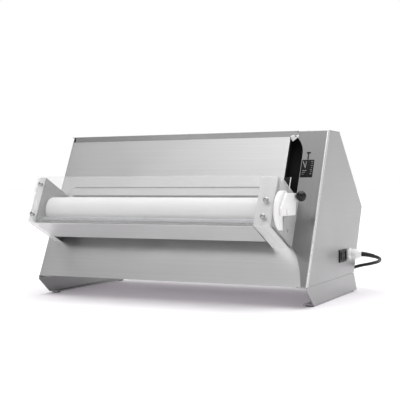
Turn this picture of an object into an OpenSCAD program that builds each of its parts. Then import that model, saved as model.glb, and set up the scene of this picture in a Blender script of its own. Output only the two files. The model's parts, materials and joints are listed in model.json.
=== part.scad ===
// Countertop dough sheeter, single pass, sloping front. Millimetres, +Z up, front towards -Y.
// The origin is the middle of the footprint, on the surface that the machine stands on.

/* [Cabinet] */
// Width across the side panels
body_w = 690; // [640:1:760]
// Height of the top cover above the worktop
body_h = 392; // [380:1:410]
// Height of the cabinet's floor above the worktop
foot_h = 47; // [40:1:55]
// Lean of the front away from vertical
lean = 24.9; // [22:0.1:27]
// Thickness of the stainless sheet
sheet = 1.5; // [1:0.1:2]

/* [Rollers] */
// Radius of both rollers
roller_r = 30; // [27:0.5:31]
// Radius of the roller shafts
shaft_r = 8; // [7:0.5:9]
// Gap between the rollers at the thinnest setting
gap_min = 1; // [0.5:0.1:2]
// Travel of the front roller from thinnest to thickest
gap_travel = 4; // [2:0.5:4]

/* [Guard] */
// Depth of the guard in front of the sloping face
guard_d = 132; // [126:1:140]
// Height of the guard along the slope
guard_s = 117; // [110:1:124]
// Thickness of the clear front sheet
guard_t = 8; // [6:1:10]

/* [Thickness lever] */
// Radius of the white hub disc
hub_r = 43; // [40:1:45]
// Radius of the ball knob
knob_r = 11.5; // [10:0.5:13]
// Throw of the cam on the lever's shaft
cam_throw = 3.5; // [3:0.1:4]

/* [Mains lead] */
// Diameter of the cord
cord_d = 8; // [7:0.5:9]
// Mean diameter of the stored coil
coil_d = 90; // [84:1:96]

/* [Hidden] */
$fn = 64;

// Colours
steel = [0.74, 0.75, 0.76];
dark_steel = [0.50, 0.51, 0.53];
white_plastic = [0.93, 0.93, 0.91];
black_plastic = [0.09, 0.09, 0.10];
clear_plastic = [0.86, 0.92, 0.94, 0.5];

// Cabinet
half_w = body_w / 2;
front_y = -180;
fit = 0.05;
slope_l = (body_h - foot_h) / cos(lean);
top_front_y = front_y + slope_l * sin(lean);
top_rear_y = top_front_y + 84;
kink_y = 263;
kink_z = 212;
rear_y = 187;
lip_s = 366;
slide_end_s = 238;
slot_x0 = 254;
slot_x1 = 289.5;
slot_s0 = 218;
slot_s1 = 362;

// Roller axes, in the cabinet's own Y and Z; the two rollers lie side by side
front_s = 142;
front_n = 78;
function slope_y(s, n) = front_y + s * sin(lean) - n * cos(lean);
function slope_z(s, n) = foot_h + s * cos(lean) + n * sin(lean);
pitch_d = 2 * roller_r + gap_min;
axis_z = slope_z(front_s, front_n);
front_axis_y = slope_y(front_s, front_n);
rear_axis_y = front_axis_y + pitch_d;
roller_x0 = -299;
roller_x1 = 248;
gear_x0 = 262;
gear_x1 = 272;
drive_x0 = 276;
drive_x1 = 281;
teeth = 20;
tooth_h = 2.8;
spring_l = 13.4;

// Guard: two cheeks, an end plate on the left and a gear box on the right
guard_x0 = -322;
guard_x1 = 297;
guard_s0 = 88;
guard_s1 = guard_s0 + guard_s;
cheek_n1 = guard_d - guard_t;
left_plate_x = -304;
plate_t = 2;
block_x0 = 251;
block_x1 = 289;
screw_r = 2.5;

// Lever: its axis is level with the rollers, in front of the sliding bearings
cam_r = 9;
cam_phase = 55;
slider_w = 15;
cam_x0 = 276;
cam_x1 = 284;
lever_y = front_axis_y - slider_w - cam_r - cam_throw * cos(cam_phase) - 0.3;
knob_dy = 55;
knob_dz = 33.7;
hub_x0 = guard_x1 + 1;
hub_x1 = hub_x0 + 10;
arm_x1 = hub_x1 + 6;
knob_x = arm_x1 + 12;
hub_rise = 3.3;

// Tie rod between the sliding bearings
tie_dy = -38;
tie_dz = -20;
tie_r = 5;

// Drive inside the cabinet
motor_y = 50;
motor_z = 140;
motor_r = 55;
motor_shaft_r = 7;
rear_sprocket_r = 20;
motor_sprocket_r = 16;
chain_t = 5;
chain_clear = 2.9;

// Switch, gland and cord
switch_y0 = 58;
switch_z0 = 82;
switch_l = 58;
switch_h = 30;
gland_y = 142;
gland_z = 98;
gland_r = 12.5;
gland_x1 = 378;
cord_route = [[378, 142, 98], [383, 142, 97.7], [390, 143, 96.8], [398, 146.5, 95], [405, 153, 92.5],
    [410, 162, 89.5], [412, 173, 86.5], [411, 185, 83], [407, 198, 79], [400, 211, 75],
    [390, 224, 71.5], [378, 236, 68], [364, 247, 64.5], [349, 257, 61], [334, 266, 57],
    [319, 274.5, 52], [304, 282.5, 45.5], [290, 289.5, 37.8], [276, 296.5, 29.2],
    [262, 303.5, 20.6], [249, 310, 13.4], [238, 315, 8], [228, 318, 4.8], [216, 319.5, 4]];
cord_sides = 10;
coil_x = 216;
coil_y = 275;
coil_h = 18;
coil_w = 18;

// Points of the side profile, in Y and Z
profile = [[front_y, foot_h], [top_front_y, body_h], [top_rear_y, body_h],
    [kink_y, kink_z], [rear_y, foot_h]];

// ---------- helpers ----------

// Places its children on the sloping front: X stays, Z runs up the slope, -Y stands off it
module on_slope() {
    translate([0, front_y, foot_h]) rotate([-lean, 0, 0]) children();
}

// A block on the slope, from X, S and N ranges
module slab(x0, x1, s0, s1, n0, n1) {
    translate([x0, -n1, s0]) cube([x1 - x0, n1 - n0, s1 - s0]);
}

// A rod along X on the slope
module slope_rod(x0, x1, s, n, r) {
    translate([x0, -n, s]) rotate([0, 90, 0]) cylinder(h = x1 - x0, r = r);
}

// A rod along X in the cabinet's own Y and Z
module rod(x0, x1, y, z, r) {
    translate([x0, y, z]) rotate([0, 90, 0]) cylinder(h = x1 - x0, r = r);
}

// A flat shape drawn in Y and Z, carried along X
module along_x(x0, x1) {
    translate([x0, 0, 0]) rotate([90, 0, 90]) linear_extrude(height = x1 - x0) children();
}

// A pan-head screw along its own -Z, with the underside of its head at zero
module screw(head_r, head_h, shank_r, shank_l) {
    cylinder(h = head_h, r = head_r);
    translate([0, 0, -shank_l]) cylinder(h = shank_l, r = shank_r);
}

// A closed outline with every edge moved inwards by a distance, corners kept sharp
function inward(a, b) = let (d = (b - a) / norm(b - a)) [d[1], -d[0]];
function inset(pts, k) = let (n = len(pts)) [for (i = [0 : n - 1])
    let (m0 = inward(pts[(i + n - 1) % n], pts[i]), m1 = inward(pts[i], pts[(i + 1) % n]))
    pts[i] + k * (m0 + m1) / (1 + m0 * m1)];

// The cabinet's profile, moved inwards by a distance
module profile_shape(k = 0) {
    polygon(inset(profile, k));
}

// A toothed wheel along X: slim teeth of the given height about a pitch circle
module toothed_wheel(x0, x1, y, z, pitch_r, count, height, bore, turn = 0) {
    step = 360 / count;
    root = pitch_r - height;
    translate([x0, y, z]) rotate([90, 0, 90]) difference() {
        linear_extrude(height = x1 - x0) polygon([for (i = [0 : count - 1]) for (p =
            [[root, -0.26], [pitch_r, -0.16], [pitch_r + height, -0.06],
             [pitch_r + height, 0.06], [pitch_r, 0.16], [root, 0.26]])
            let (a = turn + (i + p[1]) * step) [p[0] * cos(a), p[0] * sin(a)]]);
        translate([0, 0, -1]) cylinder(h = x1 - x0 + 2, r = bore);
    }
}

// The ring of points about one point of a route, square to the route's direction
function unit(v) = v / norm(v);
function heading(path, i) =
    unit(path[min(i + 1, len(path) - 1)] - path[max(i - 1, 0)]);
function ring(path, i, r, sides) =
    let (t = heading(path, i), u = unit(cross(t, [0, 0, 1])), v = cross(u, t))
    [for (k = [0 : sides - 1]) path[i] + r * (cos(360 * k / sides) * u + sin(360 * k / sides) * v)];

// A closed tube of flat-sided rings swept along a route
module tube(path, r, sides) {
    n = len(path);
    points = [for (i = [0 : n - 1]) each ring(path, i, r, sides)];
    sides_faces = [for (i = [0 : n - 2]) for (k = [0 : sides - 1])
        let (a = i * sides + k, b = i * sides + (k + 1) % sides)
        each [[a, b, b + sides], [a, b + sides, a + sides]]];
    caps = [[for (k = [sides - 1 : -1 : 0]) k], [for (k = [0 : sides - 1]) (n - 1) * sides + k]];
    polyhedron(points = points, faces = concat(sides_faces, caps), convexity = 6);
}

// ---------- cabinet ----------

// One side panel with folded edges behind the front and top sheets
module side_panel() {
    along_x(half_w - sheet, half_w) profile_shape(sheet);
    along_x(half_w - sheet - 15, half_w - sheet) difference() {
        profile_shape(sheet);
        profile_shape(2 * sheet);
        translate([front_y - 50, foot_h - 10]) square([600, 14]);
    }
}

module left_side_panel() {
    color(steel) mirror([1, 0, 0]) side_panel();
}

module right_side_panel() {
    color(steel) difference() {
        side_panel();
        translate([half_w - 3, switch_y0 + 2.5, switch_z0 + 2.5])
            cube([6, switch_l - 5, switch_h - 5]);
        rod(half_w - 3, half_w + 3, gland_y, gland_z, 8 + fit);
    }
}

// Lower sloping front, the post beside the slide and the control strip on the right
module front_panel() {
    color(steel) on_slope() difference() {
        slab(-half_w, half_w, 1, slope_l, -sheet, 0);
        slab(-half_w - 1, slot_x0, slide_end_s, slope_l + 1, -sheet - 1, 1);
        slab(-303, block_x0, 125, slide_end_s + 1, -sheet - 1, 1);
        slab(block_x0 - 1, block_x1 - 2, 130, 200, -sheet - 1, 1);
        slab(slot_x0 - 1, slot_x1 - 20, slot_s0, slope_l + 1, -sheet - 1, 1);
        slab(slot_x0 - 1, slot_x1, slot_s0, slot_s1 - 42, -sheet - 1, 1);
        translate([slot_x1 - 60, sheet + 1, slot_s1 - 42]) rotate([90, 0, 0])
            intersection() {
                cylinder(h = 6, r = 60);
                translate([0, 0, -1]) cube([60, 42, 8]);
            }
        slab(slot_x0 - 1, slot_x0 + 18, slot_s1 - 42, slope_l + 1, -sheet - 1, 1);
    }
}

// Upper sloping sheet that the dough slides down, with its right edge returned inwards
module feed_slide() {
    color(steel) on_slope() {
        slab(-half_w, slot_x0 - 0.5, slide_end_s, lip_s, -sheet, 0);
        slab(slot_x0 - 2, slot_x0 - 0.5, slide_end_s + 20, lip_s - 5, -20, -sheet);
    }
}

// Bent lip that leads the dough off the slide, over the rear roller
module feed_lip() {
    color(steel) on_slope() translate([-301.5, 0, 0]) rotate([90, 0, 90])
        linear_extrude(height = 301.5 + block_x0 - 0.5)
        polygon([[sheet, slide_end_s + 18], [2 * sheet, slide_end_s + 18],
            [2 * sheet, slide_end_s - 2], [-40.4, 197], [-41.4, 198.1],
            [-0.5, slide_end_s - 2.5], [sheet, slide_end_s - 1]]);
}

// Top cover with a vertical front lip, mitred at its right end
module top_cover() {
    lip_y = slope_y(lip_s, 0);
    color(dark_steel) difference() {
        union() {
            translate([-half_w, lip_y, body_h - sheet])
                cube([body_w, top_rear_y - lip_y, sheet]);
            translate([-half_w + 10, lip_y, slope_z(lip_s, 0) + 0.2])
                cube([half_w + slot_x0 + 8, sheet, body_h - slope_z(lip_s, 0) - 0.2]);
        }
        translate([slot_x0 + 18, lip_y - 1, body_h - 15])
            cube([half_w, top_front_y + 1.6 - lip_y + 1, 20]);
        for (x = screw_xs) translate([x, top_front_y + 20, body_h - 5])
            cylinder(h = 10, r = 1.75 + fit);
    }
}
screw_xs = [-285, -20, 262];

// Sloping back, lower back and their fold
module rear_sheet_shape() {
    difference() {
        profile_shape(0);
        profile_shape(sheet);
        translate([front_y - 10, 0]) square([-front_y + top_rear_y + 10, body_h + 10]);
        translate([top_rear_y - 1, foot_h - 5]) square([400, 5 + sheet]);
    }
}
module above_kink() {
    p = profile[3];
    q = inset(profile, sheet)[3];
    d = 4 * (p - q);
    polygon([p + d, [600, 600], [-200, 600], [-200, q[1]], q - d]);
}
module rear_hood() {
    color(steel) along_x(-half_w + sheet, half_w - sheet) intersection() {
        rear_sheet_shape();
        above_kink();
    }
}
module rear_cover() {
    color(steel) difference() {
        along_x(-half_w + sheet, half_w - sheet) difference() {
            rear_sheet_shape();
            above_kink();
        }
        for (i = [0 : 9]) translate([-200 + i * 40, 190, 80]) cube([22, 60, 60]);
        for (x = [-300, 300]) for (z = [150, 190]) rear_bore(x, z);
    }
}
function rear_face_y(z) = rear_y + (z - foot_h) * (kink_y - rear_y) / (kink_z - foot_h);
rear_tilt = atan((kink_y - rear_y) / (kink_z - foot_h));
module rear_bore(x, z) {
    translate([x, rear_face_y(z), z]) rotate([-90 - rear_tilt, 0, 0])
        translate([0, 0, -10]) cylinder(h = 20, r = 1.75 + fit);
}

module rear_cover_screws() {
    color(dark_steel) for (x = [-300, 300]) for (z = [150, 190])
        translate([x, rear_face_y(z), z]) rotate([-90 - rear_tilt, 0, 0])
            screw(3.5, 2, 1.75, 6);
}

module bottom_plate() {
    color(steel) difference() {
        translate([-half_w + sheet, front_y + 8, foot_h])
            cube([body_w - 2 * sheet, rear_y - front_y - 12, sheet]);
        for (x = [-1, 1]) for (y = bolt_ys)
            translate([x * (half_w - 14), y, foot_h - 1]) cylinder(h = 5, r = 3 + fit);
        for (i = [0 : 7]) translate([-160 + i * 44, 10, foot_h - 1]) cube([20, 90, 5]);
    }
}
bolt_ys = [-150, 0, 160];

// Foot bracket: web flush with the side panel, flanges above and below
module foot() {
    difference() {
        union() {
            along_x(half_w - 2, half_w) polygon([[front_y, foot_h], [front_y, foot_h - 9],
                [front_y + 45, 3], [213, 3], [rear_y, foot_h]]);
            translate([half_w - 28, front_y + 6, foot_h - 2])
                cube([26.5, rear_y - front_y - 12, 2]);
            translate([half_w - 25, front_y + 45, 3]) cube([23.5, 160 - front_y, 2]);
        }
        for (y = bolt_ys) translate([half_w - 14, y, foot_h - 5]) cylinder(h = 10, r = 3 + fit);
    }
}

module left_foot() {
    color(steel) mirror([1, 0, 0]) foot();
}

module right_foot() {
    color(steel) foot();
}

module rubber_pads() {
    color(black_plastic) for (x = [-1, 1]) for (y = [front_y + 56, 190])
        translate([x * (half_w - 13), y, 0]) cylinder(h = 3, r = 10);
}

// Bolts up through the foot flanges, with hexagon heads below and nuts above
module foot_bolts() {
    color(dark_steel) for (x = [-1, 1]) for (y = bolt_ys)
        translate([x * (half_w - 14), y, 0]) {
            translate([0, 0, foot_h - 6]) cylinder(h = 4, r = 5.8, $fn = 6);
            translate([0, 0, foot_h - 6]) cylinder(h = 14, r = 3);
            translate([0, 0, foot_h + sheet]) cylinder(h = 5, r = 5.8, $fn = 6);
        }
}

module top_cover_screws() {
    color(dark_steel) for (x = screw_xs) translate([x, top_front_y + 20, body_h])
        screw(3.5, 2, 1.75, 6);
}

// Black liner that closes the recess between the slide and the control strip
module recess_liner() {
    color(black_plastic) on_slope() difference() {
        slab(slot_x0, slot_x1 + 6, slot_s0 - 6, slot_s1 + 6, -22, -sheet);
        slab(slot_x0 + 2, slot_x1 + 4, slot_s0 - 4, slot_s1 + 4, -20, 0);
    }
}

// Thickness scale: a plate with raised marks and a pointer above it
module scale_plate() {
    color(black_plastic) on_slope() {
        slab(291, 320, 261, 305, 0, 1);
        slab(303, 305.5, 308, 322, 0, 1);
        slab(299.5, 309, 322, 325, 0, 1);
        for (i = [0 : 5]) slab(296, 304 + i * 2, 267 + i * 6, 269 + i * 6, 1, 1.4);
    }
}

// ---------- guard ----------

// Window that follows the sliding bearing's outline, with a pocket for its spring behind
module slider_window(x0, x1) {
    translate([x0, front_axis_y - 21, axis_z - 28]) cube([x1 - x0, 21 + slider_w + 1, 44]);
    translate([x0, front_axis_y - 51, axis_z - 28]) cube([x1 - x0, 52, 16]);
    translate([x0, front_axis_y, axis_z + 1]) cube([x1 - x0, slider_w + spring_l + 0.4, 14]);
}

// Clear left cheek, with the window that the sliding bearing runs in
module left_cheek() {
    color(clear_plastic) difference() {
        on_slope() slab(guard_x0, left_plate_x, guard_s0 + 2, guard_s1, 0, cheek_n1);
        slider_window(guard_x0 - 1, left_plate_x + 1);
        rod(guard_x0 - 1, left_plate_x + 1, rear_axis_y, axis_z, 12 + fit);
        on_slope() for (p = left_screws) screw_bore(p);
    }
}
left_screws = [[-309.5, 186], [-311, 109]];
right_screws = [[273, 147], [272, 109]];
module screw_bore(p) {
    translate([p[0], -guard_d - 1, p[1]]) rotate([-90, 0, 0]) cylinder(h = 14, r = screw_r + fit);
}

// Steel plate that faces the rollers on the left
module left_end_plate() {
    color(steel) difference() {
        on_slope() slab(left_plate_x, left_plate_x + plate_t, guard_s0 + 2, guard_s1, 0, cheek_n1);
        shaft_slots(left_plate_x - 1, left_plate_x + plate_t + 1);
        rod(left_plate_x - 1, left_plate_x + 3, rear_axis_y, axis_z, shaft_r + 1);
    }
}

// Clearance for the front shaft and the tie rod as they slide forwards
module shaft_slots(x0, x1) {
    for (p = [[0, 0, shaft_r], [tie_dy, tie_dz, tie_r]]) {
        rod(x0, x1, front_axis_y + p[0], axis_z + p[1], p[2] + 1);
        rod(x0, x1, front_axis_y + p[0] - gap_travel, axis_z + p[1], p[2] + 1);
        translate([x0, front_axis_y + p[0] - gap_travel, axis_z + p[1] - p[2] - 1])
            cube([x1 - x0, gap_travel, 2 * p[2] + 2]);
    }
}

// Folded steel box on the right that holds the gears, open towards the cabinet
module right_end_block() {
    color(steel) difference() {
        on_slope() difference() {
            slab(block_x0, block_x1, guard_s0 + 2, guard_s1, 0, cheek_n1);
            slab(block_x0 + plate_t, block_x1 - plate_t, guard_s0 + 4, guard_s1 - 2,
                -1, cheek_n1 - 3);
        }
        shaft_slots(block_x0 - 1, block_x0 + 3);
        rod(block_x0 - 1, block_x0 + 3, rear_axis_y, axis_z, 12 + fit);
        rod(block_x1 - 3, block_x1 + 1, lever_y, axis_z, 6 + fit);
        on_slope() for (p = right_screws) screw_bore(p);
    }
    color(steel) slider_guides();
}

// Rails above and below the sliding bearing, and the seat of its spring
module slider_guides() {
    w = block_x1 - plate_t + 0.5 - cam_x0;
    translate([cam_x0, front_axis_y - 20, axis_z + slider_w + 0.3]) cube([w, 40, 3]);
    translate([cam_x0, front_axis_y - 50, axis_z - 29.3]) cube([w, 68, 3]);
    translate([cam_x0, front_axis_y + slider_w + spring_l + 0.1, axis_z + 1])
        cube([w, 2, slider_w + 2]);
}

module right_cheek() {
    color(clear_plastic) difference() {
        on_slope() slab(block_x1, guard_x1, guard_s0 + 2, guard_s1, 0, cheek_n1);
        rod(block_x1 - 1, guard_x1 + 1, lever_y, axis_z, 6 + fit);
        on_slope() slope_rod(block_x1 - 1, guard_x1 + 1, 112, 46, screw_r + fit);
    }
}

// Clear front sheet with rounded lower corners
module guard_front() {
    r = 10;
    color(clear_plastic) on_slope() translate([0, -cheek_n1, 0]) difference() {
        rotate([90, 0, 0]) linear_extrude(height = guard_t) union() {
            translate([guard_x0, guard_s0 + r]) square([guard_x1 - guard_x0, guard_s - r]);
            translate([guard_x0 + r, guard_s0]) square([guard_x1 - guard_x0 - 2 * r, r + 1]);
            for (x = [guard_x0 + r, guard_x1 - r]) translate([x, guard_s0 + r]) circle(r);
        }
        translate([0, cheek_n1, 0]) for (p = concat(left_screws, right_screws)) screw_bore(p);
    }
}

module guard_screws() {
    color(dark_steel) on_slope() for (p = concat(left_screws, right_screws))
        translate([p[0], -guard_d, p[1]]) rotate([90, 0, 0])
            screw(5, 3, screw_r, guard_t + 4);
}

// Screw through the right cheek into the gear box
module cheek_screw() {
    color(dark_steel) on_slope() translate([guard_x1, -46, 112]) rotate([0, 90, 0])
        screw(4.5, 2.5, screw_r, 7.5);
}

// Sheet under the rollers that closes the guard from below
module under_tray() {
    color(steel) on_slope() {
        slab(left_plate_x + plate_t + 0.3, block_x0 - 0.3, guard_s0, guard_s0 + sheet, 39, cheek_n1);
        slab(left_plate_x + plate_t + 0.3, block_x0 - 0.3, guard_s0 + sheet, guard_s0 + 8,
            39, 39 + sheet);
    }
}

// ---------- rollers and drive ----------

module bush(x0, x1) {
    difference() {
        rod(x0, x1, rear_axis_y, axis_z, 12);
        rod(x0 - 1, x1 + 1, rear_axis_y, axis_z, shaft_r + fit);
    }
}

module left_rear_bush() {
    color(dark_steel) bush(guard_x0, left_plate_x);
}

module right_rear_bush() {
    color(dark_steel) bush(block_x0 - 1.5, gear_x0 - 2);
}

// Nylon blade that keeps dough off the rear roller
module rear_scraper() {
    color(white_plastic) on_slope() slab(-299, 248, 126, 131, 1, 13);
}

module roller(y) {
    difference() {
        rod(roller_x0, roller_x1, y, axis_z, roller_r);
        rod(roller_x0 - 1, roller_x1 + 1, y, axis_z, shaft_r);
    }
}

module rear_roller() {
    color(white_plastic) roller(rear_axis_y);
}

module rear_shaft() {
    color(dark_steel) rod(guard_x0 + 1, 285, rear_axis_y, axis_z, shaft_r);
}

module rear_gear() {
    color(white_plastic) toothed_wheel(gear_x0, gear_x1, rear_axis_y, axis_z, pitch_d / 2,
        teeth, tooth_h, shaft_r, 180 / teeth);
}

module rear_sprocket() {
    color(dark_steel) toothed_wheel(drive_x0, drive_x1, rear_axis_y, axis_z,
        rear_sprocket_r, 20, 2, shaft_r);
}

// Sliding bearing block, with the arm that holds the tie rod
module slider(x0, x1) {
    y = front_axis_y;
    difference() {
        union() {
            translate([x0, y - slider_w, axis_z - 26]) cube([x1 - x0, 2 * slider_w, 26 + slider_w]);
            translate([x0, y - 45, axis_z - 26]) cube([x1 - x0, 46, 12]);
        }
        rod(x0 - 1, x1 + 1, y, axis_z, shaft_r + fit);
        rod(x0 - 1, x1 + 1, y + tie_dy, axis_z + tie_dz, tie_r);
    }
}

module left_slider() {
    color(white_plastic) slider(-320, -306);
}

module right_slider() {
    color(white_plastic) slider(cam_x0, cam_x1);
}

module tie_rod() {
    color(dark_steel) rod(-320, cam_x1, front_axis_y + tie_dy, axis_z + tie_dz, tie_r);
}

// Nylon blade carried by the tie rod, just clear of the front roller
module front_scraper() {
    color(white_plastic) translate([0, front_axis_y + tie_dy, axis_z + tie_dz])
        rotate([-8, 0, 0]) difference() {
            translate([roller_x0, 4.2, -3]) cube([roller_x1 - roller_x0, 9.5, 4]);
            rod(roller_x0 - 1, roller_x1 + 1, 0, 0, tie_r + fit);
        }
}

// Springs behind the sliding bearings push them forwards onto the cam
module slider_springs() {
    color(dark_steel) for (x = [-313, 280])
        translate([x, front_axis_y + slider_w, axis_z + 8]) rotate([-90, 0, 0]) {
            for (i = [0 : 5]) translate([0, 0, 0.7 + i * (spring_l - 1.4) / 5])
                rotate_extrude() translate([4, 0]) circle(r = 0.6, $fn = 16);
        }
}

module front_roller() {
    color(white_plastic) roller(front_axis_y);
}

module front_shaft() {
    color(dark_steel) rod(-319, 285, front_axis_y, axis_z, shaft_r);
}

module front_gear() {
    color(white_plastic) toothed_wheel(gear_x0, gear_x1, front_axis_y, axis_z, pitch_d / 2,
        teeth, tooth_h, shaft_r, 0);
}

// ---------- thickness lever ----------

// Shaft through the right cheek, with the cam that holds the sliding bearing back
module lever_shaft() {
    color(dark_steel) {
        rod(cam_x0, hub_x0, lever_y, axis_z, 6);
        rod(cam_x0, cam_x1, lever_y + cam_throw * cos(cam_phase),
            axis_z + cam_throw * sin(cam_phase), cam_r);
    }
}

module lever_hub() {
    color(white_plastic) difference() {
        rod(hub_x0, hub_x1, lever_y, axis_z + hub_rise, hub_r);
        translate([hub_x0 - 1, lever_y - 12.3, axis_z - 60]) cube([12, 80, 52.4]);
    }
}

// Grip block on the face of the hub
module lever_arm() {
    color(white_plastic) translate([hub_x1, lever_y, axis_z]) rotate([90, 0, 90])
        linear_extrude(height = arm_x1 - hub_x1) hull()
        for (p = [[1, 37], [-31, 8], [-28, -3.4], [49, -3.4], [54.8, 27], [54.9, 36]])
            translate(p) circle(r = 4);
}

module ball_knob() {
    color(black_plastic) translate([arm_x1, lever_y + knob_dy, axis_z + knob_dz]) {
        rotate([0, 90, 0]) cylinder(h = 6, r = 3.5);
        translate([knob_x - arm_x1, 0, 0]) sphere(r = knob_r);
    }
}

// ---------- motor ----------

module motor_housing() {
    color(dark_steel) {
        rod(60, 200, motor_y, motor_z, motor_r);
        for (i = [0 : 11]) translate([0, motor_y, motor_z])
            rotate([15 + i * 30, 0, 0]) translate([70, -1, motor_r - 1]) cube([120, 2, 6]);
    }
}

module motor_fan_cover() {
    color(black_plastic) difference() {
        rod(25, 60, motor_y, motor_z, motor_r + 2);
        rod(28, 61, motor_y, motor_z, motor_r - 1);
        for (a = [0 : 45 : 315]) translate([24, motor_y, motor_z]) rotate([a, 0, 0])
            translate([0, -3, 15]) cube([6, 6, 28]);
    }
}

module gearbox() {
    color(dark_steel) difference() {
        translate([200, motor_y - 48, motor_z - 48]) cube([60, 96, 96]);
        rod(230, 261, motor_y, motor_z, motor_shaft_r + fit);
    }
}

// Angle bracket that carries the motor on the cabinet's floor
module motor_bracket() {
    color(steel) difference() {
        union() {
            translate([260, motor_y - 60, foot_h + sheet]) cube([4, 120, 150]);
            translate([200, motor_y - 60, foot_h + sheet]) cube([60, 120, 4]);
        }
        rod(259, 265, motor_y, motor_z, motor_shaft_r + 1);
    }
}

module motor_shaft() {
    color(dark_steel) rod(230, 284, motor_y, motor_z, motor_shaft_r);
}

module motor_sprocket() {
    color(dark_steel) toothed_wheel(drive_x0, drive_x1, motor_y, motor_z,
        motor_sprocket_r, 16, 2, motor_shaft_r);
}

// Outline of the chain about both sprockets, grown outwards
module chain_loop(grow) {
    hull() {
        translate([rear_axis_y, axis_z]) circle(r = rear_sprocket_r + grow, $fn = 32);
        translate([motor_y, motor_z]) circle(r = motor_sprocket_r + grow, $fn = 32);
    }
}

module drive_chain() {
    color(dark_steel) along_x(drive_x0, drive_x1) difference() {
        chain_loop(chain_clear + chain_t);
        chain_loop(chain_clear);
    }
}

// ---------- electrical ----------

module capacitor() {
    color(black_plastic) {
        rod(70, 160, -60, foot_h + sheet + 20, 20);
        rod(160, 168, -60, foot_h + sheet + 20, 8);
    }
}

module terminal_box() {
    color(white_plastic) translate([-60, -90, foot_h + sheet]) {
        cube([70, 40, 22]);
        for (i = [0 : 5]) translate([5 + i * 11, 12, 22]) cube([7, 16, 8]);
    }
}

// Bezel on the side panel and the box behind it
module switch_housing() {
    color(black_plastic) difference() {
        union() {
            translate([half_w, switch_y0, switch_z0]) cube([2, switch_l, switch_h]);
            translate([half_w - 28, switch_y0 + 3, switch_z0 + 3])
                cube([28, switch_l - 6, switch_h - 6]);
        }
        translate([half_w - 10, switch_y0 + 6, switch_z0 + 5])
            cube([13, switch_l - 12, switch_h - 10]);
    }
}

// Rocker on a pin across its middle; it lies with one end pressed in
module switch_rocker() {
    y = switch_y0 + switch_l / 2;
    z = switch_z0 + switch_h / 2;
    color(black_plastic) {
        translate([half_w - 3, y, z - 9]) linear_extrude(height = 18)
            polygon([[-4, -6], [-4, 6], [1.5, 19], [4, 19], [3, 0], [7, -19], [4, -20.5], [1, -19]]);
        translate([half_w - 3, y, z - 9.8]) cylinder(h = 19.6, r = 2);
    }
}

// Gland body on the outside of the panel, its thread and its lock nut inside
module cable_gland() {
    color(white_plastic) difference() {
        union() {
            rod(half_w - sheet - 8, half_w + 1, gland_y, gland_z, 8);
            translate([half_w, gland_y, gland_z]) rotate([0, 90, 0])
                cylinder(h = 8, r = gland_r + 1.5, $fn = 6);
            rod(half_w + 8, gland_x1 - 7, gland_y, gland_z, gland_r);
            translate([gland_x1 - 7, gland_y, gland_z]) rotate([0, 90, 0])
                cylinder(h = 7, r1 = gland_r, r2 = 7);
            translate([half_w - sheet - 6, gland_y, gland_z]) rotate([0, 90, 0])
                cylinder(h = 6, r = gland_r, $fn = 6);
        }
    }
}

module power_cord() {
    color(black_plastic) tube(cord_route, cord_d / 2, cord_sides);
}

// Outer shape of the stored coil, lying on the worktop
module cord_coil() {
    color(black_plastic) translate([coil_x, coil_y, 0]) rotate_extrude()
        translate([coil_d / 2 - coil_w / 2, 0]) square([coil_w, coil_h]);
}

module plug() {
    color(black_plastic) translate([coil_x, coil_y, 0]) {
        translate([-15, -14, 0]) cube([30, 28, 20]);
        for (y = [-7, 7]) translate([-15, y, 10]) rotate([0, -90, 0]) cylinder(h = 15, r = 2.4);
        translate([14, 0, 9]) rotate([0, 90, 0]) cylinder(h = coil_d / 2 - coil_w / 2 - 13, r = 5);
    }
}

left_side_panel();
right_side_panel();
front_panel();
feed_slide();
feed_lip();
top_cover();
rear_hood();
rear_cover();
bottom_plate();
left_foot();
right_foot();
rubber_pads();
foot_bolts();
top_cover_screws();
rear_cover_screws();
recess_liner();
scale_plate();
left_cheek();
left_end_plate();
right_end_block();
right_cheek();
guard_front();
guard_screws();
cheek_screw();
under_tray();
left_rear_bush();
right_rear_bush();
rear_scraper();
rear_roller();
rear_shaft();
rear_gear();
rear_sprocket();
left_slider();
right_slider();
tie_rod();
front_scraper();
slider_springs();
front_roller();
front_shaft();
front_gear();
lever_shaft();
lever_hub();
lever_arm();
ball_knob();
motor_housing();
motor_fan_cover();
gearbox();
motor_bracket();
motor_shaft();
motor_sprocket();
drive_chain();
capacitor();
terminal_box();
switch_housing();
switch_rocker();
cable_gland();
power_cord();
cord_coil();
plug();
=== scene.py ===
"""Countertop dough sheeter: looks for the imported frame, in metres, +Z up, front towards -Y."""

import sys
import json
import logging
import math
from dataclasses import dataclass
from enum import Enum
from typing import Any, Callable, Sequence

import bmesh
import bpy
import numpy as np
from mathutils import Matrix, Vector


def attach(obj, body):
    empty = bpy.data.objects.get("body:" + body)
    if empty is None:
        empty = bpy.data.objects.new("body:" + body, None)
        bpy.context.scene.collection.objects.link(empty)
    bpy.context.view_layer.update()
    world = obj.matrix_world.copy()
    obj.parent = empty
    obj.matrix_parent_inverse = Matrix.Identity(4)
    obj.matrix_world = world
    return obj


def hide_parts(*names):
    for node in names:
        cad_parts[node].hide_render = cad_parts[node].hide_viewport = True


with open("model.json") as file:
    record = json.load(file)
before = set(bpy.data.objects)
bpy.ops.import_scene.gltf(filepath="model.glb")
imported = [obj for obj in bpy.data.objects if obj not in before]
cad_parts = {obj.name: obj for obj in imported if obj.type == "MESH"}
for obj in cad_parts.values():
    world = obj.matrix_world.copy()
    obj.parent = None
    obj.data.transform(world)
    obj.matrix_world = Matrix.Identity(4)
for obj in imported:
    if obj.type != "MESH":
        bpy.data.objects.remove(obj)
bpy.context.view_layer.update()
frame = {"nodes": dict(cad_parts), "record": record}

LOG = logging.getLogger("dough_sheeter")
MM = 0.001

SHARP_EDGE = math.radians(35.0)
DOUBLES = 1e-6

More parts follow.
